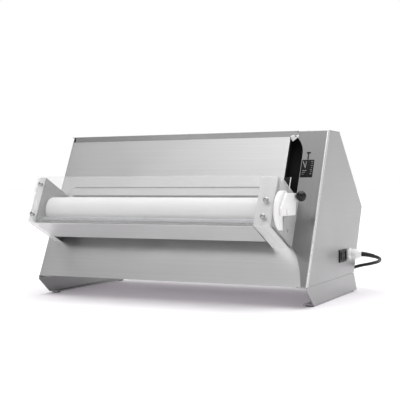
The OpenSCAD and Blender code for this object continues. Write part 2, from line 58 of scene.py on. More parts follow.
Point = tuple[float, float, float]
Pair = tuple[float, float]
Place = Callable[[np.ndarray], np.ndarray]
RIGHT: Point = (1.0, 0.0, 0.0)
UP: Point = (0.0, 0.0, 1.0)


# ---------- the sloping front ----------


@dataclass(frozen=True)
class Slope:
    """The cabinet's sloping face, in millimetres: x across, s up the slope, n straight off it."""

    lean: float = math.radians(24.9)
    foot_y: float = -180.0
    foot_z: float = 47.0
    top_z: float = 392.0

    def point(self, x: float, s: float, n: float) -> Point:
        """Return the frame's point at x, s and n, in metres.

        Args:
            x: how far to the right.
            s: how far up the slope.
            n: how far straight off it.

        Returns:
            The point.
        """
        y = self.foot_y + s * math.sin(self.lean) - n * math.cos(self.lean)
        z = self.foot_z + s * math.cos(self.lean) + n * math.sin(self.lean)
        return (x * MM, y * MM, z * MM)

    def place(self, xsn: np.ndarray) -> np.ndarray:
        """Return the frame's points, in metres, of rows of x, s and n.

        Args:
            xsn: rows of x, s and n.

        Returns:
            Rows of x, y and z.
        """
        x, s, n = xsn[..., 0], xsn[..., 1], xsn[..., 2]
        y = self.foot_y + s * math.sin(self.lean) - n * math.cos(self.lean)
        z = self.foot_z + s * math.cos(self.lean) + n * math.sin(self.lean)
        return np.stack([x, y, z], -1) * MM

    def s_at_level(self, z: float, n: float) -> float:
        """Return how far up the slope the level z is met, at a depth of n."""
        return (z - self.foot_z - n * math.sin(self.lean)) / math.cos(self.lean)

    def outward(self) -> Point:
        """Return the direction straight off the face."""
        return (0.0, -math.cos(self.lean), math.sin(self.lean))

    def offset_of(self, points: np.ndarray) -> np.ndarray:
        """Return n, in millimetres, of rows of the frame's points in metres.

        Args:
            points: rows of x, y and z.

        Returns:
            How far each one is off the slope.
        """
        y = points[:, 1] / MM - self.foot_y
        z = points[:, 2] / MM - self.foot_z
        return z * math.sin(self.lean) - y * math.cos(self.lean)


SLOPE = Slope()


# ---------- colour and nodes ----------


def linear(hex_colour: str) -> tuple[float, float, float, float]:
    """Turn an sRGB hex colour into the linear one that shaders take.

    Args:
        hex_colour: six hex digits.

    Returns:
        Red, green, blue and an alpha of one.
    """
    channels = [int(hex_colour[i:i + 2], 16) / 255 for i in (0, 2, 4)]
    flat = [c / 12.92 if c <= 0.04045 else ((c + 0.055) / 1.055) ** 2.4 for c in channels]
    return (flat[0], flat[1], flat[2], 1.0)


def add_node(tree: bpy.types.NodeTree, kind: str, settings: dict[str, Any] | None = None,
             values: dict[Any, Any] | None = None, links: dict[Any, Any] | None = None) -> bpy.types.Node:
    """Add one node to a tree.

    Args:
        tree: the material's or world's nodes.
        kind: the node's type name.
        settings: attributes of the node itself.
        values: socket name or number to the value it holds.
        links: socket name or number to the output socket that feeds it.

    Returns:
        The new node.
    """
    node = tree.nodes.new(kind)
    for key, value in (settings or {}).items():
        setattr(node, key, value)
    for key, value in (values or {}).items():
        node.inputs[key].default_value = value
    for key, socket in (links or {}).items():
        tree.links.new(socket, node.inputs[key])
    return node


def new_material(name: str) -> tuple[bpy.types.Material, bpy.types.NodeTree, bpy.types.Node]:
    """Make a material that holds only a Principled shader and its output.

    Args:
        name: the material's name.

    Returns:
        The material, its node tree and the shader node.
    """
    material = bpy.data.materials.new(name)
    material.use_nodes = True
    tree = material.node_tree
    tree.nodes.clear()
    shader = add_node(tree, "ShaderNodeBsdfPrincipled")
    add_node(tree, "ShaderNodeOutputMaterial", links={"Surface": shader.outputs["BSDF"]})
    return material, tree, shader


def noise(tree: bpy.types.NodeTree, scale: Sequence[float], detail: float = 2.0) -> bpy.types.NodeSocket:
    """Add noise on Object coordinates.

    Args:
        tree: the material's nodes.
        scale: cells per metre along X, Y and Z.
        detail: how many finer layers it has.

    Returns:
        The socket that holds the noise, from about 0.25 to 0.75.
    """
    place = add_node(tree, "ShaderNodeTexCoord")
    stretched = add_node(tree, "ShaderNodeMapping", values={"Scale": tuple(scale)},
                         links={"Vector": place.outputs["Object"]})
    cells = add_node(tree, "ShaderNodeTexNoise", values={"Scale": 1.0, "Detail": detail},
                     links={"Vector": stretched.outputs["Vector"]})
    return cells.outputs["Fac"]


def spread(tree: bpy.types.NodeTree, source: bpy.types.NodeSocket, low: float, high: float
           ) -> bpy.types.NodeSocket:
    """Map noise, which runs from about 0.3 to 0.7, to the values low to high."""
    node = add_node(tree, "ShaderNodeMapRange", values={
        "From Min": 0.3, "From Max": 0.7, "To Min": low, "To Max": high}, links={"Value": source})
    return node.outputs["Result"]


def tinted(tree: bpy.types.NodeTree, colour: str, shade: bpy.types.NodeSocket) -> bpy.types.NodeSocket:
    """Scale a hex colour by a socket's value."""
    node = add_node(tree, "ShaderNodeVectorMath", {"operation": "SCALE"},
                    values={0: linear(colour)[:3]}, links={"Scale": shade})
    return node.outputs["Vector"]


def bumped(tree: bpy.types.NodeTree, height: bpy.types.NodeSocket, strength: float, depth_mm: float
           ) -> bpy.types.NodeSocket:
    """Turn a height into a bumped normal."""
    node = add_node(tree, "ShaderNodeBump", values={"Strength": strength, "Distance": depth_mm * MM},
                    links={"Height": height})
    return node.outputs["Normal"]


# ---------- finishes ----------


class Grain(Enum):
    """Which way a sheet is brushed: cells per metre along each axis, and the smear's axis and turn."""

    ACROSS = ((3.0, 380.0, 380.0), (1.0, 0.0, 0.0), 0.25)
    UP_THE_SLOPE = ((380.0, 3.0, 3.0), (1.0, 0.0, 0.0), 0.0)
    FRONT_TO_BACK = ((380.0, 3.0, 380.0), (0.0, 1.0, 0.0), 0.25)


@dataclass(frozen=True)
class BrushedStainless:
    """AISI 304 sheet, belt brushed: fine parallel scratches that smear reflections across them."""

    name: str
    colour: str = "cbccce"
    roughness: float = 0.3
    grain: Grain = Grain.ACROSS
    smear: float = 0.6
    contrast: float = 0.045
    scratch: float = 0.05

    def build(self) -> bpy.types.Material:
        """Make the material.

        Real scratches are 0.05 mm apart; they are drawn 2.6 mm apart, so that they show.

        Returns:
            The material.
        """
        material, tree, shader = new_material(self.name)
        cells, axis, turn = self.grain.value
        lines = noise(tree, cells, 3.0)
        clouds = noise(tree, (7.0, 7.0, 7.0))
        tone = spread(tree, lines, 1.0 - self.contrast, 1.0 + self.contrast)
        along = add_node(tree, "ShaderNodeCombineXYZ",
                         values={"X": axis[0], "Y": axis[1], "Z": axis[2]})
        shader.inputs["Metallic"].default_value = 1.0
        shader.inputs["Anisotropic"].default_value = self.smear
        shader.inputs["Anisotropic Rotation"].default_value = turn
        tree.links.new(tinted(tree, self.colour, tone), shader.inputs["Base Color"])
        tree.links.new(spread(tree, clouds, self.roughness - 0.03, self.roughness + 0.03),
                       shader.inputs["Roughness"])
        tree.links.new(bumped(tree, lines, self.scratch, 0.3), shader.inputs["Normal"])
        tree.links.new(along.outputs["Vector"], shader.inputs["Tangent"])
        return material


@dataclass(frozen=True)
class MachinedSteel:
    """Turned, ground or rolled carbon steel, or zinc plate, with faint tool marks and smudges."""

    name: str
    colour: str = "9c9ea2"
    roughness: float = 0.32
    marks_per_m: float = 900.0

    def build(self) -> bpy.types.Material:
        """Make the material, with marks drawn about 1 mm apart along X so that they show."""
        material, tree, shader = new_material(self.name)
        marks = noise(tree, (self.marks_per_m, 30.0, 30.0))
        smudge = noise(tree, (60.0, 60.0, 60.0), 3.0)
        shader.inputs["Metallic"].default_value = 1.0
        tree.links.new(tinted(tree, self.colour, spread(tree, smudge, 0.9, 1.05)),
                       shader.inputs["Base Color"])
        tree.links.new(spread(tree, smudge, self.roughness - 0.06, self.roughness + 0.08),
                       shader.inputs["Roughness"])
        tree.links.new(bumped(tree, marks, 0.06, 0.2), shader.inputs["Normal"])
        return material


@dataclass(frozen=True)
class Plastic:
    """Moulded or turned plastic or rubber, told apart by colour, gloss and grain."""

    name: str
    colour: str
    roughness: float = 0.4
    grain_mm: float = 0.9
    relief: float = 0.1
    mottle: float = 0.03
    coat: float = 0.0
    gloss: float = 0.5
    stretch: Point = (1.0, 1.0, 1.0)

    def build(self) -> bpy.types.Material:
        """Make the material, with a moulded or turned grain of grain_mm, drawn to show.

        Returns:
            The material.
        """
        material, tree, shader = new_material(self.name)
        rate = 1.0 / (self.grain_mm * MM)
        grain = noise(tree, [rate * s for s in self.stretch])
        clouds = noise(tree, (24.0, 24.0, 24.0), 3.0)
        shader.inputs["IOR"].default_value = 1.5
        shader.inputs["Specular IOR Level"].default_value = self.gloss
        shader.inputs["Coat Weight"].default_value = self.coat
        shader.inputs["Coat Roughness"].default_value = 0.08
        tree.links.new(tinted(tree, self.colour, spread(tree, clouds, 1 - self.mottle, 1 + self.mottle)),
                       shader.inputs["Base Color"])
        tree.links.new(spread(tree, clouds, max(0.03, self.roughness - 0.05), self.roughness + 0.05),
                       shader.inputs["Roughness"])
        tree.links.new(bumped(tree, grain, self.relief, 0.25), shader.inputs["Normal"])
        return material


@dataclass(frozen=True)
class ClearAcrylic:
    """Cast acrylic sheet: polished faces to see through, with faint wiping marks, and an emission that
    paints in light where it is set.
    """

    name: str
    veil: float
    colour: str = "f2f6f7"
    roughness: float = 0.06
    painted_glow: float = 0.0

    def build(self) -> bpy.types.Material:
        """Make the material: a veil of the given density, a little uneven along the wiping, and a painted
        glow of the given strength.

        Returns:
            The material.
        """
        material, tree, shader = new_material(self.name)
        wipes = noise(tree, (4.0, 30.0, 30.0), 1.0)
        shader.inputs["Base Color"].default_value = linear(self.colour)
        shader.inputs["IOR"].default_value = 1.49
        # Painted light: this emission makes the acrylic glow, standing in for light caught along its edges.
        shader.inputs["Emission Color"].default_value = linear(self.colour)
        shader.inputs["Emission Strength"].default_value = self.painted_glow
        tree.links.new(spread(tree, wipes, self.veil * 0.95, self.veil * 1.05), shader.inputs["Alpha"])
        tree.links.new(spread(tree, wipes, self.roughness * 0.8, self.roughness * 1.3),
                       shader.inputs["Roughness"])
        return material


class Finish(Enum):
    """The machine's finishes."""

    # All the brushed stainless below is the same 304 sheet; apart from the front, its colour is set darker
    # or lighter to paint in light and shade.
    FRONT_SHEET = BrushedStainless("brushed_stainless_front", colour="c6c6c6", contrast=0.03)
    # Painted shade: the side sheet is coloured darker than the front, standing in for the dimmer light on
    # the sides.
    SIDE_SHEET = BrushedStainless("brushed_stainless_side_painted_shade", colour="9b9b9b", grain=Grain.FRONT_TO_BACK,
                                  roughness=0.34, contrast=0.02)
    # Painted shade: the control strip is coloured darker than the front, standing in for the dark reflection
    # it shows.
    STRIP_SHEET = BrushedStainless("brushed_stainless_control_strip_painted_shade", colour="9a9a9a",
                                   grain=Grain.UP_THE_SLOPE, roughness=0.34, smear=0.8)
    # Painted shade: the rear hood is coloured darker than the front.
    HOOD_SHEET = BrushedStainless("brushed_stainless_rear_hood_painted_shade", colour="828282", roughness=0.44)
    # Painted shade: the feed lip is coloured darker than the front.
    FEED_SHEET = BrushedStainless("brushed_stainless_feed_lip_painted_shade", colour="9c9c9c", contrast=0.03)
    # Painted shade: the end plate, whose inner face shows, is coloured darker than the front.
    PLATE_SHEET = BrushedStainless("brushed_stainless_end_plate_painted_shade", colour="868686")
    # Painted light: the end block is coloured lighter than the front.
    BLOCK_SHEET = BrushedStainless("brushed_stainless_end_block_painted_light", colour="ececec", roughness=0.36,
                                   grain=Grain.UP_THE_SLOPE, contrast=0.06)
    # Painted light: the tray, bottom plate and scrapers are coloured lighter than the front, standing in for
    # light from below.
    TRAY_SHEET = BrushedStainless("brushed_stainless_tray_painted_light", colour="d2d2d2", roughness=0.38, smear=0.3,
                                  contrast=0.03, scratch=0.02)
    # Painted shade: the top cover is coloured darker than the front.
    COVER_SHEET = BrushedStainless("brushed_stainless_cover_painted_shade", colour="838383", roughness=0.32)
    # Painted highlight: the folds are coloured brightest and made smoother, standing in for the bright line
    # along each fold.
    FOLD_HIGHLIGHT = BrushedStainless("stainless_fold_painted_highlight", colour="f0f0f0", roughness=0.22, smear=0.3)
    MACHINED = MachinedSteel("machined_steel")
    ZINC = MachinedSteel("zinc_plated_screw_steel", colour="b4b4b4", roughness=0.26)
    CHAIN = MachinedSteel("oiled_chain_steel", colour="6d6c6a", roughness=0.38)
    ROLLER = Plastic("turned_white_acetal", "efefee", roughness=0.36, grain_mm=1.4, relief=0.03,
                     mottle=0.008, stretch=(1.0, 0.05, 0.05))
    WHITE = Plastic("moulded_white_nylon", "eaeae9", roughness=0.42, relief=0.05, mottle=0.01)
    GLAND = Plastic("moulded_light_grey_nylon", "fbfbfa", roughness=0.4)
    RECESS = Plastic("matt_black_polyethylene", "0a0a0a", roughness=0.85, gloss=0.2)
    BLACK = Plastic("moulded_black_abs", "131314", roughness=0.42, gloss=0.2)
    SCALE = Plastic("printed_black_polyester", "131314", roughness=0.5, relief=0.04, gloss=0.15)
    MARK = Plastic("printed_white_ink", "a2a2a0", roughness=0.5, relief=0.02)
    KNOB = Plastic("polished_black_phenolic", "101011", roughness=0.12, relief=0.02, gloss=0.35)
    CORD = Plastic("extruded_black_pvc", "1d1d1e", roughness=0.46, grain_mm=1.2, gloss=0.3)
    RUBBER = Plastic("moulded_black_rubber", "1b1b1c", roughness=0.75, relief=0.25)
    ENAMEL = Plastic("grey_motor_enamel", "5e6468", roughness=0.35, relief=0.12, coat=0.3)
    TIE = Plastic("woven_black_nylon_tie", "202022", roughness=0.8, grain_mm=0.8, relief=0.4)
    CLEAR = ClearAcrylic("clear_cast_acrylic", 0.2, colour="dfe0e0")
    # Painted light: a denser veil with a faint glow, the band of light inside the front sheet's rims and on
    # the left cheek's cut edges.
    CLEAR_LIGHT_BAND = ClearAcrylic("clear_acrylic_painted_light_band", 0.7, colour="c4c5c5", painted_glow=0.12)
    # Painted light: a brighter, more glowing copy of the light band, along the front sheet's bottom edge.
    CLEAR_LOW_LIGHT_BAND = ClearAcrylic("clear_acrylic_painted_low_light_band", 0.85, colour="ececec", roughness=0.3, painted_glow=0.3)
    # Painted light: the right cheek's faces take this lighter, denser copy of the clear veil, standing in
    # for the light it catches.
    CLEAR_CHEEK = ClearAcrylic("clear_acrylic_cheek_painted_light", 0.58, colour="e6e7e7")
    # Painted highlight: the front sheet's chamfer and rim glow, standing in for the bright line along its
    # edges.
    CLEAR_EDGE_HIGHLIGHT = ClearAcrylic("acrylic_edge_painted_highlight", 0.75, colour="f4f5f5", roughness=0.2, painted_glow=0.2)


MATERIALS: dict[Finish, bpy.types.Material] = {}


def material_of(finish: Finish) -> bpy.types.Material:
    """Return a finish's material, which is made the first time it is asked for."""
    if finish not in MATERIALS:
        MATERIALS[finish] = finish.value.build()
    return MATERIALS[finish]


# ---------- mesh making ----------


def shade(mesh: bpy.types.Mesh) -> None:
    """Shade a mesh smooth apart from its sharp edges."""
    mesh.polygons.foreach_set("use_smooth", np.full(len(mesh.polygons), True))
    mesh.set_sharp_from_angle(angle=SHARP_EDGE)


def add_piece(name: str, mesh: bpy.types.Mesh) -> bpy.types.Object:
    """Put a mesh into the scene as an object at the origin.

    Args:
        name: the object's name.
        mesh: its mesh, which is shaded smooth.

    Returns:
        The object.
    """
    piece = bpy.data.objects.new(name, mesh)
    bpy.context.scene.collection.objects.link(piece)
    shade(mesh)
    return piece


def merged(mesh: bpy.types.Mesh) -> None:
    """Merge a mesh's doubles and turn its faces outwards.

    Args:
        mesh: the mesh, which is changed in place.
    """
    shell = bmesh.new()
    shell.from_mesh(mesh)
    bmesh.ops.remove_doubles(shell, verts=shell.verts, dist=DOUBLES)
    bmesh.ops.dissolve_degenerate(shell, edges=shell.edges, dist=1e-7)
    bmesh.ops.recalc_face_normals(shell, faces=shell.faces)
    shell.to_mesh(mesh)
    shell.free()


def surface(name: str, points: np.ndarray, faces: np.ndarray) -> bpy.types.Object:
    """Put points and faces into a mesh object at the origin.

    Args:
        name: the piece's name.
        points: rows of x, y and z in metres.
        faces: rows of four point numbers.

    Returns:
        The object, with doubles merged and faces pointing outwards.
    """
    mesh = bpy.data.meshes.new(name)
    mesh.from_pydata(points.tolist(), [], faces.tolist())
    merged(mesh)
    return add_piece(name, mesh)


def grid_faces(rows: int, columns: int) -> np.ndarray:
    """Number the quads of a grid whose columns join back on themselves.

    Args:
        rows: points along the grid.
        columns: points round it.

    Returns:
        Rows of four point numbers, one for each quad.
    """
    i, j = np.meshgrid(np.arange(rows - 1), np.arange(columns), indexing="ij")
    k = (j + 1) % columns
    quads = np.stack([i * columns + j, i * columns + k, (i + 1) * columns + k, (i + 1) * columns + j], -1)
    return quads.reshape(-1, 4)


def lofted(name: str, rings: np.ndarray) -> bpy.types.Object:
    """Join rings of points into a skin, closed by a fan at each end.

    Args:
        name: the piece's name.
        rings: rings, points and coordinates, in metres.

    Returns:
        The piece.
    """
    first = np.repeat(rings[:1].mean(1, keepdims=True), rings.shape[1], 1)
    last = np.repeat(rings[-1:].mean(1, keepdims=True), rings.shape[1], 1)
    whole = np.concatenate([first, rings, last])
    return surface(name, whole.reshape(-1, 3), grid_faces(len(whole), whole.shape[1]))


def frame_of(axis: Sequence[float]) -> tuple[np.ndarray, np.ndarray, np.ndarray]:
    """Return two directions square to an axis, and the axis itself.

    Args:
        axis: a direction of any length.

    Returns:
        Three unit directions, right-handed.
    """
    w = np.array(Vector(axis).normalized())
    side = np.array([0.0, 0.0, 1.0]) if abs(w[2]) < 0.9 else np.array([0.0, 1.0, 0.0])
    u = np.cross(side, w)
    u /= np.linalg.norm(u)
    return u, np.cross(w, u), w


def spun(name: str, profile: Sequence[Pair], centre: Point, axis: Sequence[float],
         steps: int = 64, shape: Callable[[np.ndarray, np.ndarray], np.ndarray] | None = None
         ) -> bpy.types.Object:
    """Turn a profile about an axis: the point at height h and angle a is centre + h axis + r (cos a, sin a).

    Args:
        name: the piece's name.
        profile: pairs of height along the axis and radius, in millimetres, from end to end.
        centre: where height is zero, in metres.
        axis: the direction of height.
        steps: points about the axis.
        shape: optional factor on the radius, from the profile's row number and the angle.

    Returns:
        The piece.
    """
    heights = np.array([p[0] for p in profile], dtype=float)
    radii = np.array([p[1] for p in profile], dtype=float)
    angles = np.linspace(0, 2 * np.pi, steps, endpoint=False)
    row, a = np.meshgrid(np.arange(len(profile)), angles, indexing="ij")
    r = np.repeat(radii[:, None], steps, 1)
    if shape is not None:
        r = r * shape(row, a)
    u, v, w = frame_of(axis)
    rings = (np.array(centre) + (heights[:, None, None] * w + (r * np.cos(a))[..., None] * u
                                 + (r * np.sin(a))[..., None] * v) * MM)
    return lofted(name, rings)


def rounded_rod(h0: float, h1: float, r: float, rim: float, steps: int = 6) -> list[Pair]:
    """Profile of a rod from h0 to h1 with rims rounded by rim, as pairs of height and radius.

    Args:
        h0: height of the first end.
        h1: height of the other end.
        r: the rod's radius.
        rim: radius of its rims.
        steps: spans round each rim.

    Returns:
        Pairs of height and radius.
    """
    turns = [i * math.pi / 2 / steps for i in range(steps + 1)]
    low = [(h0 + rim * (1 - math.sin(t)), r - rim * (1 - math.cos(t))) for t in reversed(turns)]
    high = [(h1 - rim * (1 - math.sin(t)), r - rim * (1 - math.cos(t))) for t in turns]
    return low + high


def arc(cx: float, cy: float, r: float, a0: float, a1: float, steps: int = 8) -> np.ndarray:
    """Points of an arc about (cx, cy), from angle a0 to a1 in degrees."""
    t = np.radians(np.linspace(a0, a1, steps + 1))
    return np.column_stack([cx + r * np.cos(t), cy + r * np.sin(t)])


def rounded_box(x0: float, x1: float, y0: float, y1: float, r: float, steps: int = 5) -> np.ndarray:
    """Anticlockwise outline of a rectangle with corners rounded by r."""
    return np.concatenate([arc(x1 - r, y0 + r, r, -90, 0, steps), arc(x1 - r, y1 - r, r, 0, 90, steps),
                           arc(x0 + r, y1 - r, r, 90, 180, steps), arc(x0 + r, y0 + r, r, 180, 270, steps)])


def hull_of_discs(discs: Sequence[Pair], r: float, steps: int = 6) -> np.ndarray:
    """Anticlockwise outline round discs of radius r whose centres are anticlockwise and convex.

    Args:
        discs: the centres.
        r: their radius.
        steps: spans round each corner.

    Returns:
        Rows of two coordinates.
    """
    outline = []
    for i, (x, y) in enumerate(discs):
        bx, by = discs[i - 1]
        ax, ay = discs[(i + 1) % len(discs)]
        start = math.degrees(math.atan2(y - by, x - bx)) - 90
        end = math.degrees(math.atan2(ay - y, ax - x)) - 90
        end += 360 * math.ceil((start - end) / 360)
        outline.append(arc(x, y, r, start, end, steps))
    return np.concatenate(outline)


def pulled_in(outline: np.ndarray, by: np.ndarray) -> np.ndarray:
    """Move each point of an anticlockwise outline inwards, square to its neighbours' chord.

    Args:
        outline: rows of two coordinates.
        by: how far, for each point.

    Returns:
        The moved rows.
    """
    chord = np.roll(outline, -1, 0) - np.roll(outline, 1, 0)
    chord /= np.maximum(np.linalg.norm(chord, axis=1, keepdims=True), 1e-9)
    return outline + np.column_stack([-chord[:, 1], chord[:, 0]]) * np.reshape(by, (-1, 1))


def slab(name: str, outline: np.ndarray, depth: float, rim: float,
         place: Place, steps: int = 4) -> bpy.types.Object:
    """Make a slab of an outline's shape with rounded rims.

    The layer at turn t, from 0 to a quarter turn, lies rim (1 - cos t) below the face and is pulled in
    by rim (1 - sin t); both faces are closed by a fan.

    Args:
        name: the piece's name.
        outline: rows of two coordinates in millimetres, anticlockwise.
        depth: thickness in millimetres, along the third coordinate.
        rim: radius of the rims.
        place: takes rows of the three coordinates to the frame, in metres.
        steps: spans in each quarter turn.

    Returns:
        The piece.
    """
    turns = np.linspace(0, np.pi / 2, steps + 1)
    pulls = rim * (1 - np.sin(turns))
    heights = rim * (1 - np.cos(turns))
    levels = np.concatenate([heights, depth - heights[::-1]])
    layers = np.stack([pulled_in(outline, np.full(len(outline), p))
                       for p in np.concatenate([pulls, pulls[::-1]])])
    third = np.repeat(levels[:, None, None], len(outline), 1)
    return lofted(name, place(np.concatenate([layers, third], -1)))


def joined(name: str, pieces: Sequence[bpy.types.Object]) -> bpy.types.Object:
    """Join pieces, which are used up, into one mesh at the origin.

    Args:
        name: the whole piece's name.
        pieces: the pieces to join.

    Returns:
        The whole piece.
    """
    whole = bmesh.new()
    for piece in pieces:
        whole.from_mesh(piece.data)
        old = piece.data
        bpy.data.objects.remove(piece)
        bpy.data.meshes.remove(old)
    mesh = bpy.data.meshes.new(name)
    whole.to_mesh(mesh)
    whole.free()
    return add_piece(name, mesh)


def body_of_node(node: str) -> str:
    """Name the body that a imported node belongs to."""
    for body, nodes in frame["record"]["behaviour"]["bodies"].items():
        if node in nodes:
            return body
    raise KeyError(node)


def dress(piece: bpy.types.Object, finish: Finish, body: str = "root",
          instead_of: Sequence[str] = ()) -> bpy.types.Object:
    """Finish a new piece and tie it to the frame.

    Args:
        piece: the piece.
        finish: its finish.
        body: the body it rides on.
        instead_of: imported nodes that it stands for.

    Returns:
        The piece.
    """
    piece.data.materials.clear()
    piece.data.materials.append(material_of(finish))
    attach(piece, body)
    if instead_of:
        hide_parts(*instead_of)
    LOG.info("made %s on %s", piece.name, body)
    return piece


def softened(node: str, finish: Finish, width: float = 0.5, segments: int = 2,
             reshape: Place | None = None) -> bpy.types.Object:
    """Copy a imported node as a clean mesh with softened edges, and show the copy instead.

    Args:
        node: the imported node's name.
        finish: the copy's finish.
        width: how far the bevel runs in from each edge, in millimetres.
        segments: spans across the bevel.
        reshape: optional move of the points, given and returned as rows in metres.

    Returns:
        The piece.
    """
    shell = bmesh.new()
    shell.from_mesh(frame["nodes"][node].data)
    bmesh.ops.remove_doubles(shell, verts=shell.verts, dist=2e-6)
    bmesh.ops.dissolve_limit(shell, angle_limit=math.radians(0.5), verts=shell.verts, edges=shell.edges)
    mesh = bpy.data.meshes.new(f"{node}_finished")
    shell.to_mesh(mesh)
    shell.free()
    if reshape is not None:
        flat = np.empty(len(mesh.vertices) * 3)
        mesh.vertices.foreach_get("co", flat)
        mesh.vertices.foreach_set("co", reshape(flat.reshape(-1, 3)).reshape(-1))
        mesh.update()
    piece = add_piece(f"{node}_finished", mesh)
    bevel = piece.modifiers.new("soft_edges", "BEVEL")
    bevel.width = width * MM
    bevel.segments = segments
    bevel.limit_method = "ANGLE"
    bevel.angle_limit = math.radians(40)
    bevel.harden_normals = True
    return dress(piece, finish, body_of_node(node), (node,))


def paint(nodes: Sequence[str], finish: Finish) -> None:
    """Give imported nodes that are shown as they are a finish."""
    for node in nodes:
        source = frame["nodes"][node]
        source.data.materials.clear()
        source.data.materials.append(material_of(finish))
        LOG.info("painted %s", node)


def to_hexagon(a: np.ndarray) -> np.ndarray:
    """Return one over the cosine of the angle from a to the middle of the nearest of six flats."""
    return 1 / np.cos(np.mod(a + np.pi / 6, np.pi / 3) - np.pi / 6)


def button_screw(name: str, at: Point, axis: Sequence[float], r: float, rise: float,
                 recess: float) -> bpy.types.Object:
    """Make a button-head screw: a dome with a six-sided recess.

    Args:
        name: the piece's name.
        at: the middle of the head's underside, in metres.
        axis: the way the head points.
        r: the head's radius in millimetres.
        rise: the head's height.
        recess: half the recess's width across flats.

    Returns:
        The piece.
    """
    dome = [(rise * math.cos(t), recess * 1.25 + (r - recess * 1.25) * math.sin(t))
            for t in np.linspace(0.0, math.pi / 2, 7)]
    dome[-1] = (rise * 0.12, r)
    socket = [(rise * 0.3, recess * 0.4), (rise * 0.3, recess), (rise * 0.98, recess * 1.04)]

    def six_sided(row: np.ndarray, a: np.ndarray) -> np.ndarray:
        """Return the six-sided factor on the recess's rows."""
        return np.where(row < len(socket), to_hexagon(a), 1.0)

    return spun(name, socket + dome + [(0.0, r)], at, axis, 36, six_sided)


def box_piece(name: str, x: Pair, y: Pair, z: Pair,
              place: Place, rim: float = 0.3) -> bpy.types.Object:
    """Make a block with rounded edges along its third coordinate's faces, through place.

    Args:
        name: the piece's name.
        x: start and end along the first coordinate.
        y: start and end along the second.
        z: start and end along the third.
        place: takes the three coordinates to the frame, in metres.
        rim: radius of the edges.

    Returns:
        The piece.
    """
    corner = min(rim, (x[1] - x[0]) * 0.45, (y[1] - y[0]) * 0.45)
    outline = rounded_box(x[0], x[1], y[0], y[1], corner, 3)

    def shifted(points: np.ndarray) -> np.ndarray:
        """Lift the third coordinate to z's start before placing."""
        return place(points + np.array([0.0, 0.0, z[0]]))

    return slab(name, outline, z[1] - z[0], min(rim, (z[1] - z[0]) * 0.45), shifted, 2)


def from_yz(points: np.ndarray) -> np.ndarray:
    """Turn rows of y, z and x in millimetres into the frame's points in metres."""
    return np.stack([points[..., 2], points[..., 0], points[..., 1]], -1) * MM


# ---------- cabinet ----------


